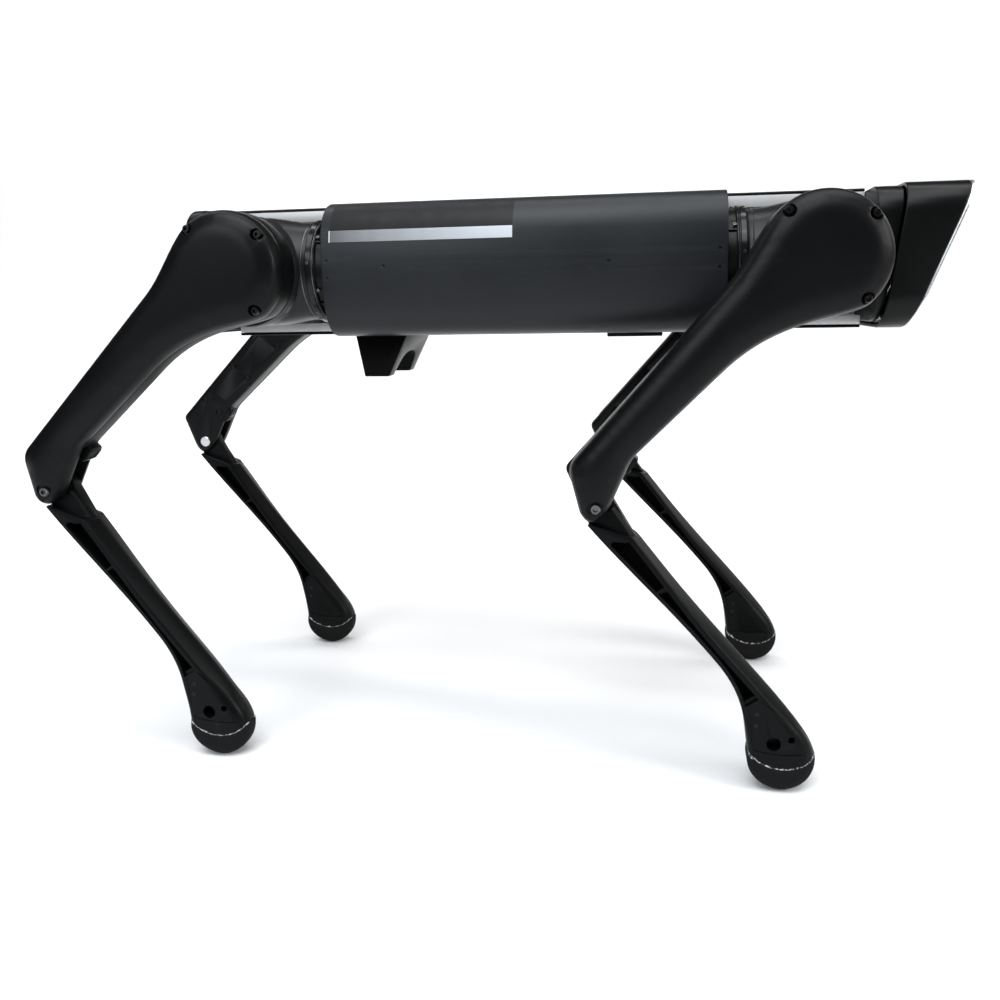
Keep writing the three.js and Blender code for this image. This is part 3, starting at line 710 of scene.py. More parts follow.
def thigh_frame_shape():
    outline = thigh_outline(frame_knee_end())
    body = prism(outline, THIGH_INNER, THIGH_SEAM - 0.3, bevel0=6.5, steps=7)
    knee_side = box(210, 300, -60, 60, 100, 150)
    hollow = carved(prism(offset(outline, 2.2), 114, THIGH_SEAM + 5), [knee_side])
    slot_front = box(204, 290, -31, 30, INNER_ARM, THIGH_SEAM + 5)
    slot_back = box(222, 290, -60, 30, INNER_ARM, THIGH_SEAM + 5)
    sinks = [dowel(3.4, THIGH_INNER - 3, THIGH_INNER + 1.6, 28, centre=(x, y, 0))
             for x, y in INNER_SCREWS]
    panel = prism([(62, -30), (60, 2), (92, -4), (196, -12), (200, -30)], THIGH_INNER - 2,
                  THIGH_INNER + 0.8)
    seat = dowel(6.4, THIGH_INNER - 3, THIGH_INNER + 1.3, 32, centre=(LINK, 0, 0))
    body = carved(body, [hollow, slot_front, slot_back, panel, seat, *sinks])
    # the moulded lip at the top of the knee opening, below the push rod's layer
    lip = prism([(202.5, -9), (219, -9), (219, 0.6), (214.5, 2.6), (206, 2.4), (203, 0.6)],
                INNER_ARM - 4, TONGUE[1] - 0.1, 1.3, 1.3)
    dent = prism([(206, 1.6), (214, 1.8), (214, 5), (206, 5)], INNER_ARM - 1.5, THIGH_SEAM - 5)
    return softened(carved(carved(body, [lip], "UNION"), [dent]), 0.4, 40)


def knee_pin_outer():
    return cap_screw(4.0, 3.4, Matrix.Translation((LINK, 0, THIGH_OUTER - 2.4)), socket=0.5)


def knee_pin_inner():
    return turned([(0, THIGH_INNER + 1.1), (5.6, THIGH_INNER + 1.1), (5.6, THIGH_INNER - 0.1),
                   (5.1, THIGH_INNER - 0.6), (0, THIGH_INNER - 0.6)][::-1], 48,
                  centre=(LINK, 0, 0))


def knee_shaft():
    return turned([(0, INNER_ARM - 2), (4.5, INNER_ARM - 2), (4.5, 126.6), (5.8, 126.6),
                   (5.8, THIGH_SEAM - 0.3), (4.5, THIGH_SEAM - 0.3), (4.5, THIGH_SEAM + 2),
                   (0, THIGH_SEAM + 2)], 48, centre=(LINK, 0, 0))


# ---- calf ----
FOOT_TIP = math.radians(75)
FOOT_HEEL = math.radians(-135)
CALF_FOOT = FOOT_RADIUS - 0.2


def calf_back():
    """The back edge, from just below the knee to the foot."""
    heel = (LINK + CALF_FOOT * math.cos(FOOT_HEEL), CALF_FOOT * math.sin(FOOT_HEEL))
    points = bezier((4, -15.3), (50, -11.6), (105, 1.2), (160, 4.8), 30)
    return points + bezier((160, 4.8), (188, 5.6), (203, -2.5), heel, 20)


def calf_front():
    """The front edge at the middle of the calf's width, from the foot to the knee."""
    tip = (LINK + CALF_FOOT * math.cos(FOOT_TIP), CALF_FOOT * math.sin(FOOT_TIP))
    points = bezier(tip, (232, 33.2), (150, 18), (77, 13.8), 40)
    points += bezier((77, 13.8), (66, 13.2), (56, 12.7), (46, 12.2), 6)
    return points + line((46, 12.2), (6, 10.2), 6)


def calf_crown(u):
    """How far the front edge falls away from the middle of the width to its sides."""
    return (3.4 + 3.2 * smooth(46, 160, u)) * (1 - 0.85 * smooth(222, 262, u))


def calf_rounding(u):
    """Radius of the long edges: crisp on the shin, growing to a round tread at the foot."""
    return 1.2 + 4.8 * smooth(198, 232, u) + 5.3 * smooth(232, 268, u)


def across(w0, w1, rounding, levels, outline):
    """A body built in layers across the width; outline(t) gives the layer at t, from -1 on
    the inner side to 1 on the outer one, and rounding(u) the radius of the long edges."""
    middle, half = (w0 + w1) / 2, (w1 - w0) / 2
    rings = []
    for level in levels:
        ring = outline(level / half)
        inset = [edge_inset(rounding(u), half - abs(level)) for u, _ in ring]
        rings.append([(u, v, middle + level) for u, v in offset(ring, np.array(inset))])
    return loft(rings)


def at_station(points, u):
    order = sorted(points)
    return float(np.interp(u, [p[0] for p in order], [p[1] for p in order]))


def calf_side_front(u):
    """The front edge of the calf's flat side."""
    return at_station(calf_front(), u) - calf_crown(u)


def calf_body():
    """The calf below its shoulder: layers across the width, crowned at the front."""
    half = (CALF_OUTER - CALF_INNER) / 2
    rest = calf_back() + arc(LINK, 0, CALF_FOOT, -135, 75, 56)
    front = calf_front()

    def layer(t):
        fall = abs(t) ** 1.4
        ring = [(u, v - calf_crown(u) * fall * smooth(0, 12, v) * smooth(240, 262, u))
                for u, v in rest]
        return ring + [(u, v - calf_crown(u) * fall) for u, v in front]

    edge = [-half, -half + 0.3, -half + 0.7]
    levels = edge + list(np.linspace(-half + 1.2, half - 1.2, 19)) + [-e for e in edge[::-1]]
    return across(CALF_INNER, CALF_OUTER, calf_rounding, levels, layer)


def calf_pocket(start, stop, knee_end, w0, w1):
    """A side pocket between the calf's front and back webs, closed by the points given for
    its knee end, which run from the front web to the back one."""
    stations = np.linspace(start, stop, 12)
    lower = [(u, at_station(calf_back(), u) + 3.4) for u in stations]
    upper = [(u, calf_side_front(u) - 4.0) for u in stations[::-1]]
    return prism(lower + upper + knee_end, w0, w1)


POCKET_DEPTH = 12.0


def calf_pockets(w0, w1):
    top = [(36, 1.0), (32.6, -2.6), (30.6, -5.2), (30.4, -7.4), (32, -9.0)]
    return [calf_pocket(37, 82, top, w0, w1),
            calf_pocket(88, 150, [(86.5, 2), (86.5, -1)], w0, w1),
            calf_pocket(157, 193, [(155.5, 11), (155.5, 9)], w0, w1)]


def painted_shade_linings():
    """Dark linings on the floors of the calf's pockets: painted shade that darkens the pockets'
    depth.
    """
    inner, outer = CALF_INNER + POCKET_DEPTH, CALF_OUTER - POCKET_DEPTH
    return joined(calf_pockets(inner - 0.5, inner - 0.1) + calf_pockets(outer + 0.1, outer + 0.5))


def calf_knee():
    """The narrow eye between the thigh's arms, with the rocker for the push rod."""
    knee = 13.0
    turn = math.radians(180 - 7.5)
    rocker = (21 * math.cos(turn), 21 * math.sin(turn))
    front = (knee * math.cos(math.radians(62)), knee * math.sin(math.radians(62)))
    points = [(44, -8.2), (44, 8.2)] + line((44, 8.2), front, 4)
    points += arc(0, 0, knee, 62, 118, 8)
    points += arc(rocker[0], rocker[1], 5.5, 95, 255, 14)
    points += arc(0, 0, knee, 235, 272, 6)
    return prism(points, *TONGUE, 0.6, 0.6)


def calf_neck():
    """The thicker stretch that the thigh's shell covers when the knee is straight."""
    w0, w1 = TONGUE[0], THIGH_SEAM - 0.8
    half = (w1 - w0) / 2
    back = [(u, at_station(calf_back(), u) + 0.3) for u in np.linspace(7, 50, 10)]
    front = [(u, 9.9) for u in np.linspace(50, 9, 10)]
    return across(w0, w1, lambda u: 0.9, np.linspace(-half, half, 13),
                  lambda t: back + [(u, v - 3.0 * abs(t) ** 2.2) for u, v in front])


SOLE_CIRCLE = (LINK - 23.2, 17.0, 34.1)


def sole_cutter(radius):
    return prism(circle(SOLE_CIRCLE[0], SOLE_CIRCLE[1], radius, 120),
                 CALF_INNER - 10, CALF_OUTER + 10)


def groove(points, width, w0, w1):
    """A thin strip along a polyline, as a cutter."""
    side = beside(points) * width / 2
    return prism([tuple(q) for q in points + side] + [tuple(q) for q in (points - side)[::-1]],
                 w0, w1)


def both_sides(depth):
    """The w ranges of a cut of the given depth in each side of the calf."""
    return (CALF_INNER - 1, CALF_INNER + depth), (CALF_OUTER - depth, CALF_OUTER + 1)


def calf_shape():
    # the full width starts at a slanted shoulder, which follows the shell of the folded thigh
    knee_side = prism([(-20, -34.8), (60, 26.5), (60, 60), (-60, 60), (-60, -34.8)],
                      CALF_INNER - 5, CALF_OUTER + 5)
    body = softened(carved(calf_body(), [knee_side]), 0.5, 50)
    body = carved(body, [calf_knee(), calf_neck()], "UNION")
    cuts = []
    for w0, w1 in both_sides(POCKET_DEPTH):
        cuts += calf_pockets(w0, w1)
    for w0, w1 in both_sides(4.5):
        cuts.append(calf_pocket(84, 160, [], w0, w1))
    for w0, w1 in both_sides(2.5):
        cuts.append(calf_pocket(192, 196.5, [], w0, w1))
    foot_zone = box(LINK - 34, 300, -60, 60, CALF_INNER - 5, CALF_OUTER + 5)
    cuts.append(carved(foot_zone, [sole_cutter(SOLE_CIRCLE[2])]))
    cuts += [dowel(radius, CALF_OUTER - 9, CALF_OUTER + 3, 32, centre=(u, v, 0))
             for u, v, radius in ((233.5, 3.4, 5.6), (237.9, 16.9, 2.6))]
    seam = bezier((227.6, -13.2), (234, -9), (247, 4.5), (253.6, 20), 16)
    plate_front = bezier((197, 15.4), (213, 19.4), (238, 28), (252.6, 17), 24)
    plate_back = bezier((196, 4.6), (205, 0.8), (219, -6), (228, -13.4), 16)
    for w0, w1 in both_sides(0.75):
        cuts += [groove(seam, 0.6, w0, w1), groove(plate_front, 0.9, w0, w1),
                 groove(plate_back, 0.5, w0, w1)]
    return softened(carved(body, cuts), 0.25, 42)


def foot_face(u, v):
    """The w of the foot's rounded side over a point of its outline."""
    reach = math.hypot(u - LINK, v)
    radius = calf_rounding(LINK + (u - LINK) * FOOT_RADIUS / reach)
    rest = radius - min(max(FOOT_RADIUS - reach, 0), radius)
    return CALF_OUTER - radius + math.sqrt(radius ** 2 - rest ** 2)


def sole_shape():
    w0, w1 = CALF_INNER - 0.3, CALF_OUTER + 0.3
    half = (w1 - w0) / 2
    outline = circle(LINK, 0, FOOT_RADIUS, 120)
    levels = [-half, -half + 0.3, *np.linspace(-half + 0.8, half - 0.8, 27), half - 0.3, half]
    body = across(w0, w1, calf_rounding, levels, lambda t: outline)
    return softened(carved(body, [sole_cutter(SOLE_CIRCLE[2] + 0.35)]), 0.3, 50)


def sole_line():
    """A ragged bead of glue and wear along the joint between the foot and its sole."""
    cu, cv, radius = SOLE_CIRCLE
    middle = (CALF_INNER + CALF_OUTER) / 2
    route = []
    for step in range(-94, 24):
        turn = math.radians(step)
        ragged = 0.28 * math.sin(step * 0.61) + 0.22 * math.sin(step * 1.37 + 1)
        u = cu + (radius + 0.25 + ragged) * math.cos(turn)
        v = cv + (radius + 0.25 + ragged) * math.sin(turn)
        if math.hypot(u - LINK, v) < FOOT_RADIUS + 0.2:
            width = 0.5 + 1.0 * smooth(14, -40, step) * (0.65 + 0.35 * math.sin(step * 0.31))
            width += 0.5 * smooth(12, 18, step)
            route.append((u, v, foot_face(u, v), width))
    whole = Shape()
    for flip in (1, -1):
        rings = []
        for u, v, w, size in route:
            top = middle + flip * (w + 0.15 - middle)
            low = middle + flip * (w - 0.5 - middle)
            du, dv = u - cu, v - cv
            reach = size / math.hypot(du, dv)
            ring = [(u + du * reach * k, v + dv * reach * k, w)
                    for k, w in ((-1, low), (-0.6, top), (0.6, top), (1, low))]
            rings.append(ring[::flip])
        whole.add(loft(rings))
    return whole


# ---- trunk ----
ALONG_X = Matrix(((0, 0, 1, 0), (1, 0, 0, 0), (0, 1, 0, 0), (0, 0, 0, 1)))


def along_x(section, x0, x1, bevel=0.0, steps=3):
    """A (y, z) section extruded along x."""
    return prism(section, x0, x1, bevel, bevel, steps).moved(ALONG_X)


def slanted(section, rear, front, layers=1):
    """A (y, z) section whose end faces lie at rear(z) and front(z)."""
    section = anticlockwise(section)
    rings = []
    for k in range(layers + 1):
        t = k / layers
        rings.append([(rear(z) + (front(z) - rear(z)) * t, y, z) for y, z in section])
    return loft(rings)


def cover_path(inset=0.0, fine=26):
    """The cover's section from its top seam round the side to its bottom seam."""
    top, bottom = 55.8 - inset, -55.8 + inset
    points = [(COVER_SEAM_Y, top)] + line((COVER_SEAM_Y, top), (68, top), 3)
    points += bezier((68, top), (88 - inset, top), (99.5 - inset, 46 - inset),
                     (103.5 - inset, 29), fine)
    points += bezier((103.5 - inset, 29), (106.8 - inset, 12), (106.8 - inset, -9),
                     (103.5 - inset, -29), fine)
    points += bezier((103.5 - inset, -29), (101 - inset, -46 + inset), (90 - inset, bottom),
                     (72, bottom), fine)
    return points + line((72, bottom), (COVER_SEAM_Y, bottom), 3)


COVER_SCREWS = ((-110, 1.5), (72, 1.3), (157, 8.8), (157, -5.5), (-158.5, 7), (-158.5, -7))


def cover_shape():
    section = cover_path() + cover_path(2.5)[::-1]
    half = COVER_HALF_LENGTH
    body = along_x(section, -half, half, 0.7, 3)
    holes = [turned([(0, 98), (1.0, 98), (1.0, 105.2), (2.3, 106.6), (2.3, 109), (0, 109)], 24,
                    "y", (x, 0, z)) for x, z in COVER_SCREWS]
    return carved(body, holes)


def cover_screws():
    whole = Shape()
    for x, z in COVER_SCREWS:
        height = 105.3 if abs(x) < 140 else 105.6
        whole.add(turned([(0, 101), (1.7, 101), (1.7, height - 0.4), (1.2, height), (0.7, height),
                          (0.6, height - 0.6), (0, height - 0.6)], 20, "y", (x, 0, z)))
    return whole


def side_band(z0, z1, x0, x1):
    """A thin film on the cover's side between two heights."""
    path = [p for p in cover_path(0, 90) if z0 <= p[1] <= z1 and p[0] > 80]
    out = beside(path)
    outer = [tuple(q) for q in path + out * 0.3]
    inner = [tuple(q) for q in (path - out * 0.2)[::-1]]
    return along_x(outer + inner, x0, x1)


HEAD_SLOPE = 0.4


def head_rear(z):
    return 290 + 0.15 * z


def head_front(z):
    return 323.2 + HEAD_SLOPE * z


def head_section(inset=0.0):
    return rounded_rect(-86 + inset, 86 - inset, -55 + inset, 57.5 - inset, 26 - inset, 14)


def head_ring(rear, front, wall=3.0, edge=0.9):
    outer = slanted(head_section(), rear, front)
    inner = slanted(head_section(wall), lambda z: rear(z) - 6, lambda z: front(z) + 6)
    return softened(carved(outer, [inner]), edge, 40, 3)


def ahead(distance):
    return lambda z: head_front(z) + distance


def lens(y, radius):
    """A camera lens in the head's face: a stepped ring round a domed glass."""
    tilt = Matrix.Rotation(math.pi / 2 - math.atan(HEAD_SLOPE), 4, "Y")
    place = Matrix.Translation((head_front(16) - 3.2, y, 16)) @ tilt
    r = radius
    ring = turned([(0, -1), (r, -1), (r, 1.5), (r - 0.5, 2.0), (r - 1.2, 2.0), (r - 1.8, 1.1),
                   (r - 2.2, 1.1), (r - 2.4, 0.4), (0, 0.4)], 56)
    glass = [(0, 0)] + [(r - 2.5, 0)]
    for k in range(1, 10):
        turn = math.pi / 2 * k / 9
        glass.append(((r - 2.5) * math.cos(turn) + 1e-4, 1.3 * math.sin(turn)))
    glass.append((0, 1.3))
    return ring.moved(place), turned(glass, 48).moved(place)


def bulkhead_shape(front_face):
    section = rounded_rect(-80, 80, -50, 55.5, 24)
    plate = slanted(section, lambda z: BULKHEAD_X, front_face)
    holes = [dowel(12.4, BULKHEAD_X - 4, BULKHEAD_X + 30, 48, "x", (0, side * ABDUCTION_Y, 0))
             for side in (-1, 1)]
    return softened(carved(plate, holes), 1.0, 40, 3)


def rear_face(z):
    return 297 - 0.04 * z


def rear_cap_shape():
    section = rounded_rect(-80, 80, -52, 55.5, 22)
    shape = slanted(section, lambda z: BULKHEAD_X + 6.3, rear_face)
    panel = slanted(rounded_rect(-52, 52, -34, 22, 6, 6), lambda z: rear_face(z) - 1.6,
                    lambda z: 310)
    return softened(carved(shape, [panel]), 1.4, 30, 3)


def rear_ports():
    """Plain connectors and a push switch in the rear panel."""
    back, low, high = 294.0, 296.4, 297.0
    whole = Shape()
    for y in (-34, -16):
        whole.add(turned([(0, back), (7.2, back), (7.2, low), (6.4, high), (5.4, high),
                          (5.2, low - 0.3), (0, low - 0.3)], 40, "x", (0, y, -8)))
    for y in (6, 26):
        whole.add(softened(along_x(rounded_rect(y - 7, y + 7, -13, -5, 1.5, 4), back, high),
                           0.3, 40))
    whole.add(turned([(0, back), (6.5, back), (6.5, low), (5.9, high), (0, high)], 44, "x",
                     (0, 42, -8)))
    return whole


def spine_shape():
    whole = Shape()
    reach = 276.7
    for low, high in ((45.3, 55.0), (-53.0, -45.3)):
        whole.add(softened(box(-reach, reach, -30, 30, low, high), 0.6, 40))
    for end in (-1, 1):
        x0, x1 = sorted((end * 116, end * reach))
        whole.add(softened(box(x0, x1, -8, 8, -45.8, 45.8), 0.5, 40))
        wall = rounded_rect(-100, 100, -46.3, 46.3, 24, 10)
        x0, x1 = sorted((end * 116, end * 122))
        whole.add(along_x(wall, x0, x1, 0.8))
    return whole


def top_deck_shape():
    section = [(-30, 55.3), (30, 55.3), (30, 56.6), (29.2, 57.4), (28, 57.7), (-28, 57.7),
               (-29.2, 57.4), (-30, 56.6)]
    deck = along_x(section, -276.7, 276.7, 0.4)
    holes = [dowel(2.8, 54, 60, 24, centre=(x, y, 0)) for x in DECK_SCREW_X for y in (-22, 22)]
    return carved(deck, [joined(holes)])


DECK_SCREW_X = (-262, -205, -148, -74, 0, 74, 148, 205, 262)


def deck_screws():
    return joined(screw_at(x, y, 56.9, 2.5, 2.6) for x in DECK_SCREW_X for y in (-22, 22))


def bottom_plate_shape():
    return softened(box(-276.7, 276.7, -30, 30, -55.7, -53.3), 0.5, 40)


def hatch_shape():
    plate = softened(box(65, 113, -27, 27, -61, -56.0), 0.6, 40)
    grooves = [box(70, 108, y, y + 1.2, -62, -60.4) for y in (-15, -9, -3, 3, 9, 15)]
    return carved(plate, [joined(grooves)])


def stand_shape():
    top, bottom, arch = -56.1, -94.0, -73.0
    half = [(40, top), (39, bottom), (24, bottom)]
    half += bezier((24, bottom), (21, -76), (17, arch), (0, arch), 16)
    outline = half + [(-y, z) for y, z in half[::-1][1:]]

    def narrowing(z):
        return (top - z) / (top - bottom)

    body = slanted(outline, lambda z: -161 + 6.5 * narrowing(z),
                   lambda z: -113 - 19 * narrowing(z), 4)
    return softened(body, 0.9, 30, 3)


def round_abduction(degrees):
    """A turn about the abduction axis, for things made about the x axis."""
    turn = Matrix.Rotation(math.radians(degrees), 4, "X")
    return Matrix.Translation((0, ABDUCTION_Y, 0)) @ turn


def notched_ring_shape():
    """A notched collar that shows in the gap between the cover's end and the motor's ring."""
    x0, x1 = 157.0, 170.0
    ring = dowel(41.6, x0, x1, 96, "x", (0, ABDUCTION_Y, 0))
    bore = dowel(40.6, x0 - 3, x1 + 3, 72, "x", (0, ABDUCTION_Y, 0))
    ribs = [box(x0 + 0.5, x1, 40.8, 43.4, -0.5, 0.5).moved(round_abduction(32 + 72 * k))
            for k in range(5)]
    return carved(carved(ring, [bore]), ribs, "UNION")


def abduction_motor_shape():
    profile = [(0, 122.3), (38, 122.3), (39.3, 122.8), (40, 124), (40, 150), (39.5, 150.4),
               (39.5, 151.2), (40, 151.6), (40, 157.0), (40.3, 157.3), (40.3, 169.0), (42.6, 169.4),
               (43.6, 169.8), (44, 170.1), (44, 170.5), (43.6, 170.9), (42.9, 171.0),
               (42.9, 172.4), (43.6, 172.5), (44, 173), (44, 176.8), (43.4, 177.6), (42.5, 177.9),
               (0, 177.9)]
    return turned(profile, 128, "x", (0, ABDUCTION_Y, 0))


def bright_ring(x, radius):
    """A thin bright ring round the abduction axis."""
    return turned([(0, x - 0.45), (radius, x - 0.45), (radius + 0.35, x), (radius, x + 0.45),
                   (0, x + 0.45)], 128, "x", (0, ABDUCTION_Y, 0))


def motor_screws():
    whole = Shape()
    for k in range(12):
        place = Matrix.Translation((175.3 if k % 2 else 168.0, 0, 44.35))
        whole.add(cap_screw(1.35, 1.6, round_abduction(30 * k + 7.5) @ place))
    return whole


# ---- hips ----
def hip_fairing():
    """The flare between the round flange on the motor and the drum."""
    stations = ((178.2, 40, 40, 40, 2.0), (180.5, 41, 41, 41, 2.0), (188, 41.5, 42, 41.5, 2.05),
                (193, 42, 43, 42, 2.2), (199, 42, 44.5, 43, 2.6), (206, 41.5, 46, 44.3, 3.2),
                (214, 40, 46.9, 45.2, 4.0), (223, 37, 47.1, 45.6, 5.0), (230, 30, 47.1, 45.7, 6.0))
    rings = []
    for x, inner, outer, height, power in stations:
        ring = []
        for k in range(96):
            turn = 2 * math.pi * k / 96
            c, s = math.cos(turn), math.sin(turn)
            reach, sharp = (inner, 2.0) if c < 0 else (outer, power)
            ring.append((x, ABDUCTION_Y + reach * math.copysign(abs(c) ** (2 / sharp), c),
                         height * math.copysign(abs(s) ** (2 / (2.0 if c < 0 else power)), s)))
        rings.append(ring)
    return loft(rings)


def hip_housing_shape():
    drum = turned([(0, 47), (38.8, 47), (40, 48.2), (40, 76), (41.2, 77), (44, 77.2),
                   (45.5, 78), (46, 79.6), (46, 104.6), (45.7, 105.2), (45.7, 106.0), (46, 106.6),
                   (46, 107.6), (45.2, 109.2), (0, 109.2)], 128, "y", (HIP_OFFSET, 0, 0))
    journal = turned([(0, 255), (14, 255), (14, 271), (12, 272), (12, 281.4), (11.4, 282),
                      (0, 282)], 64, "x", (0, ABDUCTION_Y, 0))
    bore = dowel(36.6, 40, 76.6, 96, "y", (HIP_OFFSET, 0, 0))
    body = carved(drum, [hip_fairing(), journal], "UNION")
    return softened(carved(body, [bore]), 0.5, 35)


def hip_screws_shape():
    whole = Shape()
    for angle in (-75, -45, -15, 15, 45, 75, 130, 180, 230):
        turn = Matrix.Translation((HIP_OFFSET, 93, 0)) @ Matrix.Rotation(
            math.radians(angle), 4, "Y")
        place = turn @ Matrix.Translation((0, 0, 46.2))
        whole.add(cap_screw(1.5, 1.6, place))
    return whole


def thigh_motor_shape():
    profile = [(0, 43.5), (14, 43.5), (14.6, 44.1), (20, 44.1), (20.6, 43.5), (35.2, 43.5),
               (36.4, 43.9), (37.4, 45), (37.5, 46.6), (36.1, 46.7), (36.1, 76.2), (0, 76.2)]
    return turned(profile, 112, "y", (HIP_OFFSET, 0, 0))


def thigh_motor_screws():
    whole = Shape()
    flip = Matrix.Rotation(math.pi / 2, 4, "X")
    for k in range(8):
        turn = 2 * math.pi * (k + 0.5) / 8
        place = Matrix.Translation((HIP_OFFSET + 28 * math.cos(turn), 43.4, 28 * math.sin(turn)))
        whole.add(cap_screw(2.2, 1.6, place @ flip))
    return whole


def limb_pieces():
    """Each limb's pieces: name, body, shape, material, slot, and the CAD node replaced."""
    hip_screws = joined(screw_at(x, y, THIGH_OUTER - 4.2, 3.0, 3.6)
                        for x, y in hip_screw_places())
    frame_screws = joined(screw_at(x, y, THIGH_INNER + 0.3, 2.7, 1.4, -1)
                          for x, y in INNER_SCREWS)
    foot_screws = joined(screw_at(x, y, w, 1.5, 1.2, outward)
                         for x, y in ((206.0, 6.8), (213.3, 0.9))
                         for w, outward in ((CALF_OUTER + 0.3, 1), (CALF_INNER - 0.3, -1)))
    return (
        ("abduction_motor_skin", "trunk", abduction_motor_shape(), "motor", "motor_shell",
         "abduction_motor"),
        ("motor_rings", "trunk", bright_ring(171.7, 43.75), "pin", "steel", None),
        ("motor_screws", "trunk", motor_screws(), "pin", "steel", None),
        ("notched_ring", "trunk", notched_ring_shape(), "trunk", "trunk_plastic", None),
        ("hip_housing_skin", "hip", hip_housing_shape(), "alloy", "dark_alloy", "hip_housing"),
        ("hip_rings", "hip", bright_ring(182.2, 41.4), "pin", "steel", None),
        ("hip_housing_screws", "hip", hip_screws_shape(), "pin", "steel", None),
        ("thigh_motor_skin", "hip", thigh_motor_shape(), "motor", "motor_shell", "thigh_motor"),
        ("thigh_motor_screws", "hip", thigh_motor_screws(), "screw", "steel", None),
        ("thigh_shell_skin", "thigh", thigh_shell_shape(), "leg", "leg_plastic", "thigh_shell"),
        ("thigh_frame_skin", "thigh", thigh_frame_shape(), "leg", "leg_plastic", "thigh_frame"),
        ("knee_pin_shaft", "thigh", knee_shaft(), "steel", "steel", "knee_pin"),
        ("knee_pin_head", "thigh", knee_pin_outer(), "pin", "steel", None),
        ("knee_pin_cap", "thigh", knee_pin_inner(), "bare", "steel", None),
        ("hip_screws", "thigh", hip_screws, "screw", "steel", None),
        ("frame_screws", "thigh", frame_screws, "screw", "steel", None),
        ("calf_skin", "calf", calf_shape(), "calf", "calf_alloy", "calf"),
        # dark linings on the pocket floors are painted shade
        ("painted_shade_linings", "calf", painted_shade_linings(), "painted_pocket_shade", "calf_alloy", None),
        ("sole_skin", "calf", sole_shape(), "rubber", "sole_rubber", "foot_sole"),
        ("sole_line", "calf", sole_line(), "scrape", "sole_rubber", None),
        ("foot_screws", "calf", foot_screws, "screw", "steel", None),
    )


def build_limb(end, side, pieces):
    limb = f"{end}_{side}"
    hip = hip_matrix(end, side)
    places = {"trunk": hip, "hip": hip, "thigh": thigh_matrix(end, side),
              "calf": calf_matrix(end, side)}
    for name, member, shape, material, slot, node in pieces:
        body = "trunk" if member == "trunk" else f"{limb}_{member}"
        piece(f"{limb}_{name}", shape, places[member], body, material,
              [f"{limb}_{node}"] if node else [])


def build_covers():
    cover, screws = cover_shape(), cover_screws()
    for side in ("right", "left"):
        place, name = hip_matrix("front", side), f"side_cover_{side}"
        piece(f"{name}_skin", cover, place, "trunk", "cover", [name])
        piece(f"{name}_screws", screws, place, "trunk", "screw")
    right = hip_matrix("front", "right")
    for name, z0, z1, x0, x1, material, slot in (
            ("label_band_upper", 30.8, 51.0, -155, -4, "band_dark", "cover_plastic"),
            ("label_band_lower", 20.9, 30.8, -155, -4, "band_light", "bare_alloy"),
            ("label_edge", 20.9, 30.8, -155.7, -155, "raw", "bare_alloy")):
        piece(name, side_band(z0, z1, x0, x1), right, "trunk", material)


def build_body():
    bulkhead_rear = bulkhead_shape(lambda z: BULKHEAD_X + 6)
    bulkhead_front = bulkhead_shape(lambda z: head_rear(z) - 0.3)
    for name, shape, reversed_x, material, slot in (
            ("spine_frame", spine_shape(), False, "raw", "bare_alloy"),
            ("top_deck", top_deck_shape(), False, "trunk", "trunk_plastic"),
            ("top_deck_screws", deck_screws(), False, "screw", "steel"),
            ("bottom_plate", bottom_plate_shape(), False, "trunk", "trunk_plastic"),
            ("belly_hatch", hatch_shape(), False, "leg", "leg_plastic"),
            ("belly_stand", stand_shape(), False, "gloss", "trunk_plastic"),
            ("front_bulkhead", bulkhead_front, False, "trunk", "dark_alloy"),
            ("rear_bulkhead", bulkhead_rear, True, "trunk", "dark_alloy"),
            ("rear_cap", rear_cap_shape(), True, "trunk", "trunk_plastic"),
            ("rear_cap_ports", rear_ports(), True, "alloy", "dark_alloy")):
        place = trunk_matrix() @ Matrix.Diagonal((-1 if reversed_x else 1, 1, 1, 1))
        if name in frame["nodes"]:
            piece(f"{name}_skin", shape, place, "trunk", material, [name])
        else:
            piece(name, shape, place, "trunk", material)


def build_head():
    rings, glasses = zip(*(lens(y, 6.9) for y in (-34, 0, 34)))
    visor = softened(slanted(head_section(3.3), ahead(-8), ahead(-5)), 0.5, 40)
    bar = slanted(rounded_rect(-46, 46, 6, 26, 9.9), ahead(-4.7), ahead(-2.2))
    for name, shape, material, slot, nodes in (
            ("head_shell_skin", head_ring(head_rear, head_front), "trunk", "trunk_plastic",
             ["head_shell"]),
            ("head_rim_skin", head_ring(ahead(0.3), ahead(2.8), 3.0, 0.8), "bare", "bare_alloy",
             ["head_rim"]),
            ("head_visor_skin", visor, "glass", "visor", ["head_visor"]),
            ("head_sensor_bar", softened(bar, 0.6, 40), "alloy", "dark_alloy",
             ["head_sensors"]),
            ("head_lens_rings", joined(rings), "motor", "dark_alloy", []),
            ("head_lens_glass", joined(glasses), "glass", "visor", [])):
        piece(name, shape, trunk_matrix(), "trunk", material, nodes)


build_covers()
build_body()
build_head()
limb_set = limb_pieces()
for end, side in LEGS:
    build_limb(end, side, limb_set)

# The pieces inside keep their CAD shapes with finished materials.
CARRIED = {"battery_pack": "alloy", "control_computer": "alloy", "knee_motor": "motor",
           "knee_crank": "steel", "knee_rod": "bare"}
for name, node in frame["nodes"].items():
    for ending, material in CARRIED.items():
        if name.endswith(ending):
            node.data.materials.clear()
            node.data.materials.append(MATERIALS[material])


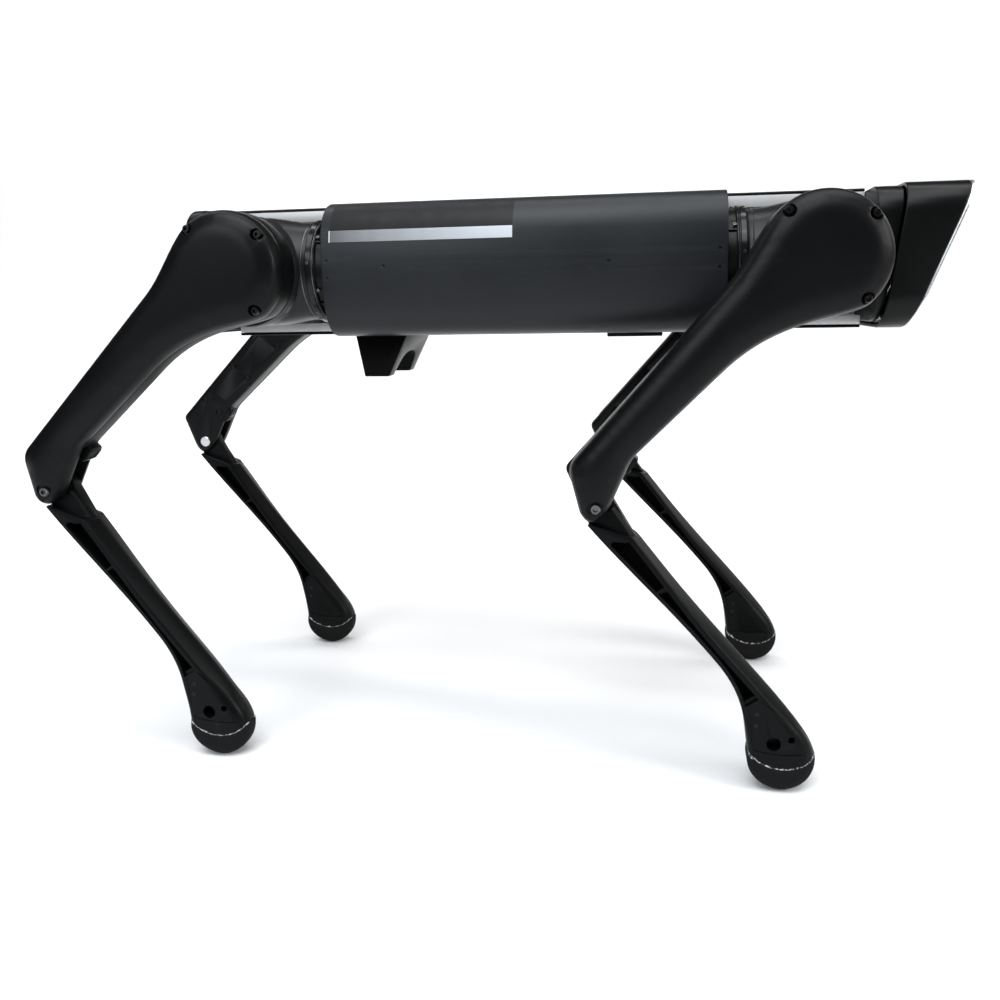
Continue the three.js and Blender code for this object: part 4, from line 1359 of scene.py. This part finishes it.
# ---- floor, lights and camera ----
def soft_light(name, place, target, size, power, color=(1, 1, 1)):
    data = bpy.data.lights.new(name, "AREA")
    data.shape = "RECTANGLE"
    data.size, data.size_y = size
    data.energy = power
    data.color = color
    light = bpy.data.objects.new(name, data)
    light.location = place
    direction = Vector(target) - Vector(place)
    light.rotation_euler = direction.to_track_quat("-Z", "Y").to_euler()
    bpy.context.scene.collection.objects.link(light)


def backdrop():
    """A pale floor that curves up into a wall far behind."""
    bend, wall_top = 2.0, 3.0
    turns = [math.pi / 2 * i / 16 for i in range(1, 17)]
    profile = [(-6.0, 0.0), (3.5, 0.0)]
    profile += [(3.5 + bend * math.sin(t), bend - bend * math.cos(t)) for t in turns]
    profile += [(3.5 + bend, wall_top)]
    verts = [(x, y, z) for y, z in profile for x in (-9.0, 9.0)]
    faces = [(2 * i, 2 * i + 1, 2 * i + 3, 2 * i + 2) for i in range(len(profile) - 1)]
    mesh = bpy.data.meshes.new("floor")
    mesh.from_pydata(verts, [], faces)
    mesh.shade_smooth()
    floor = bpy.data.objects.new("floor", mesh)
    bpy.context.scene.collection.objects.link(floor)
    n = Nodes("floor_paint", 0.55, specular=0.2)
    clouds = n.noise(3, 2)
    n.color(n.mix(clouds, grey(0.84), grey(0.87)))
    n.bumps((n.noise(900, 2), 0.03, 0.0001))
    mesh.materials.append(n.material)


backdrop()
COOL = (0.92, 0.96, 1.0)
soft_light("overhead", (0.1, -0.7, 2.5), (0, 0, 0.3), (2.8, 1.3), 58, COOL)
soft_light("side_key", (-0.05, -1.2, 1.85), (0, 0, 0.4), (1.3, 0.8), 18, COOL)
soft_light("left_key", (-1.2, -2.2, 1.5), (-0.1, 0, 0.4), (1.3, 1.2), 28, COOL)
soft_light("front_key", (2.6, -0.9, 1.3), (0, 0, 0.3), (1.0, 1.2), 42)
soft_light("front_rim", (3.0, 2.0, 1.6), (0, 0, 0.25), (1.6, 1.4), 22)
soft_light("wall_wash", (-1.2, 1.2, 3.6), (-0.6, 5.5, 1.0), (9.0, 1.5), 400)

world = bpy.data.worlds.new("studio")
bpy.context.scene.world = world
world.use_nodes = True
world.node_tree.nodes["Background"].inputs["Color"].default_value = (1, 1, 1, 1)
world.node_tree.nodes["Background"].inputs["Strength"].default_value = 0.05
bpy.context.scene.view_settings.view_transform = "Standard"

YAW, PITCH, ROLL = (math.radians(a) for a in (-8.67, -8.59, -1.09))
forward = Vector((math.sin(YAW) * math.cos(PITCH), math.cos(YAW) * math.cos(PITCH),
                  math.sin(PITCH)))
level = Vector((math.cos(YAW), -math.sin(YAW), 0))
upward = level.cross(forward)
camera_right = level * math.cos(ROLL) + upward * math.sin(ROLL)
camera_up = upward * math.cos(ROLL) - level * math.sin(ROLL)
camera_data = bpy.data.cameras.new("camera")
camera_data.sensor_width = 36
camera_data.lens = 36 * 0.85203
camera_data.shift_x = -0.03807
camera_data.shift_y = -0.07229
camera = bpy.data.objects.new("camera", camera_data)
rotation = Matrix((camera_right, camera_up, -forward)).transposed().to_4x4()
camera.matrix_world = Matrix.Translation(
    trunk_matrix() @ Vector((116.85, -780.38, -27.14))) @ rotation
bpy.context.scene.collection.objects.link(camera)
bpy.context.scene.camera = camera
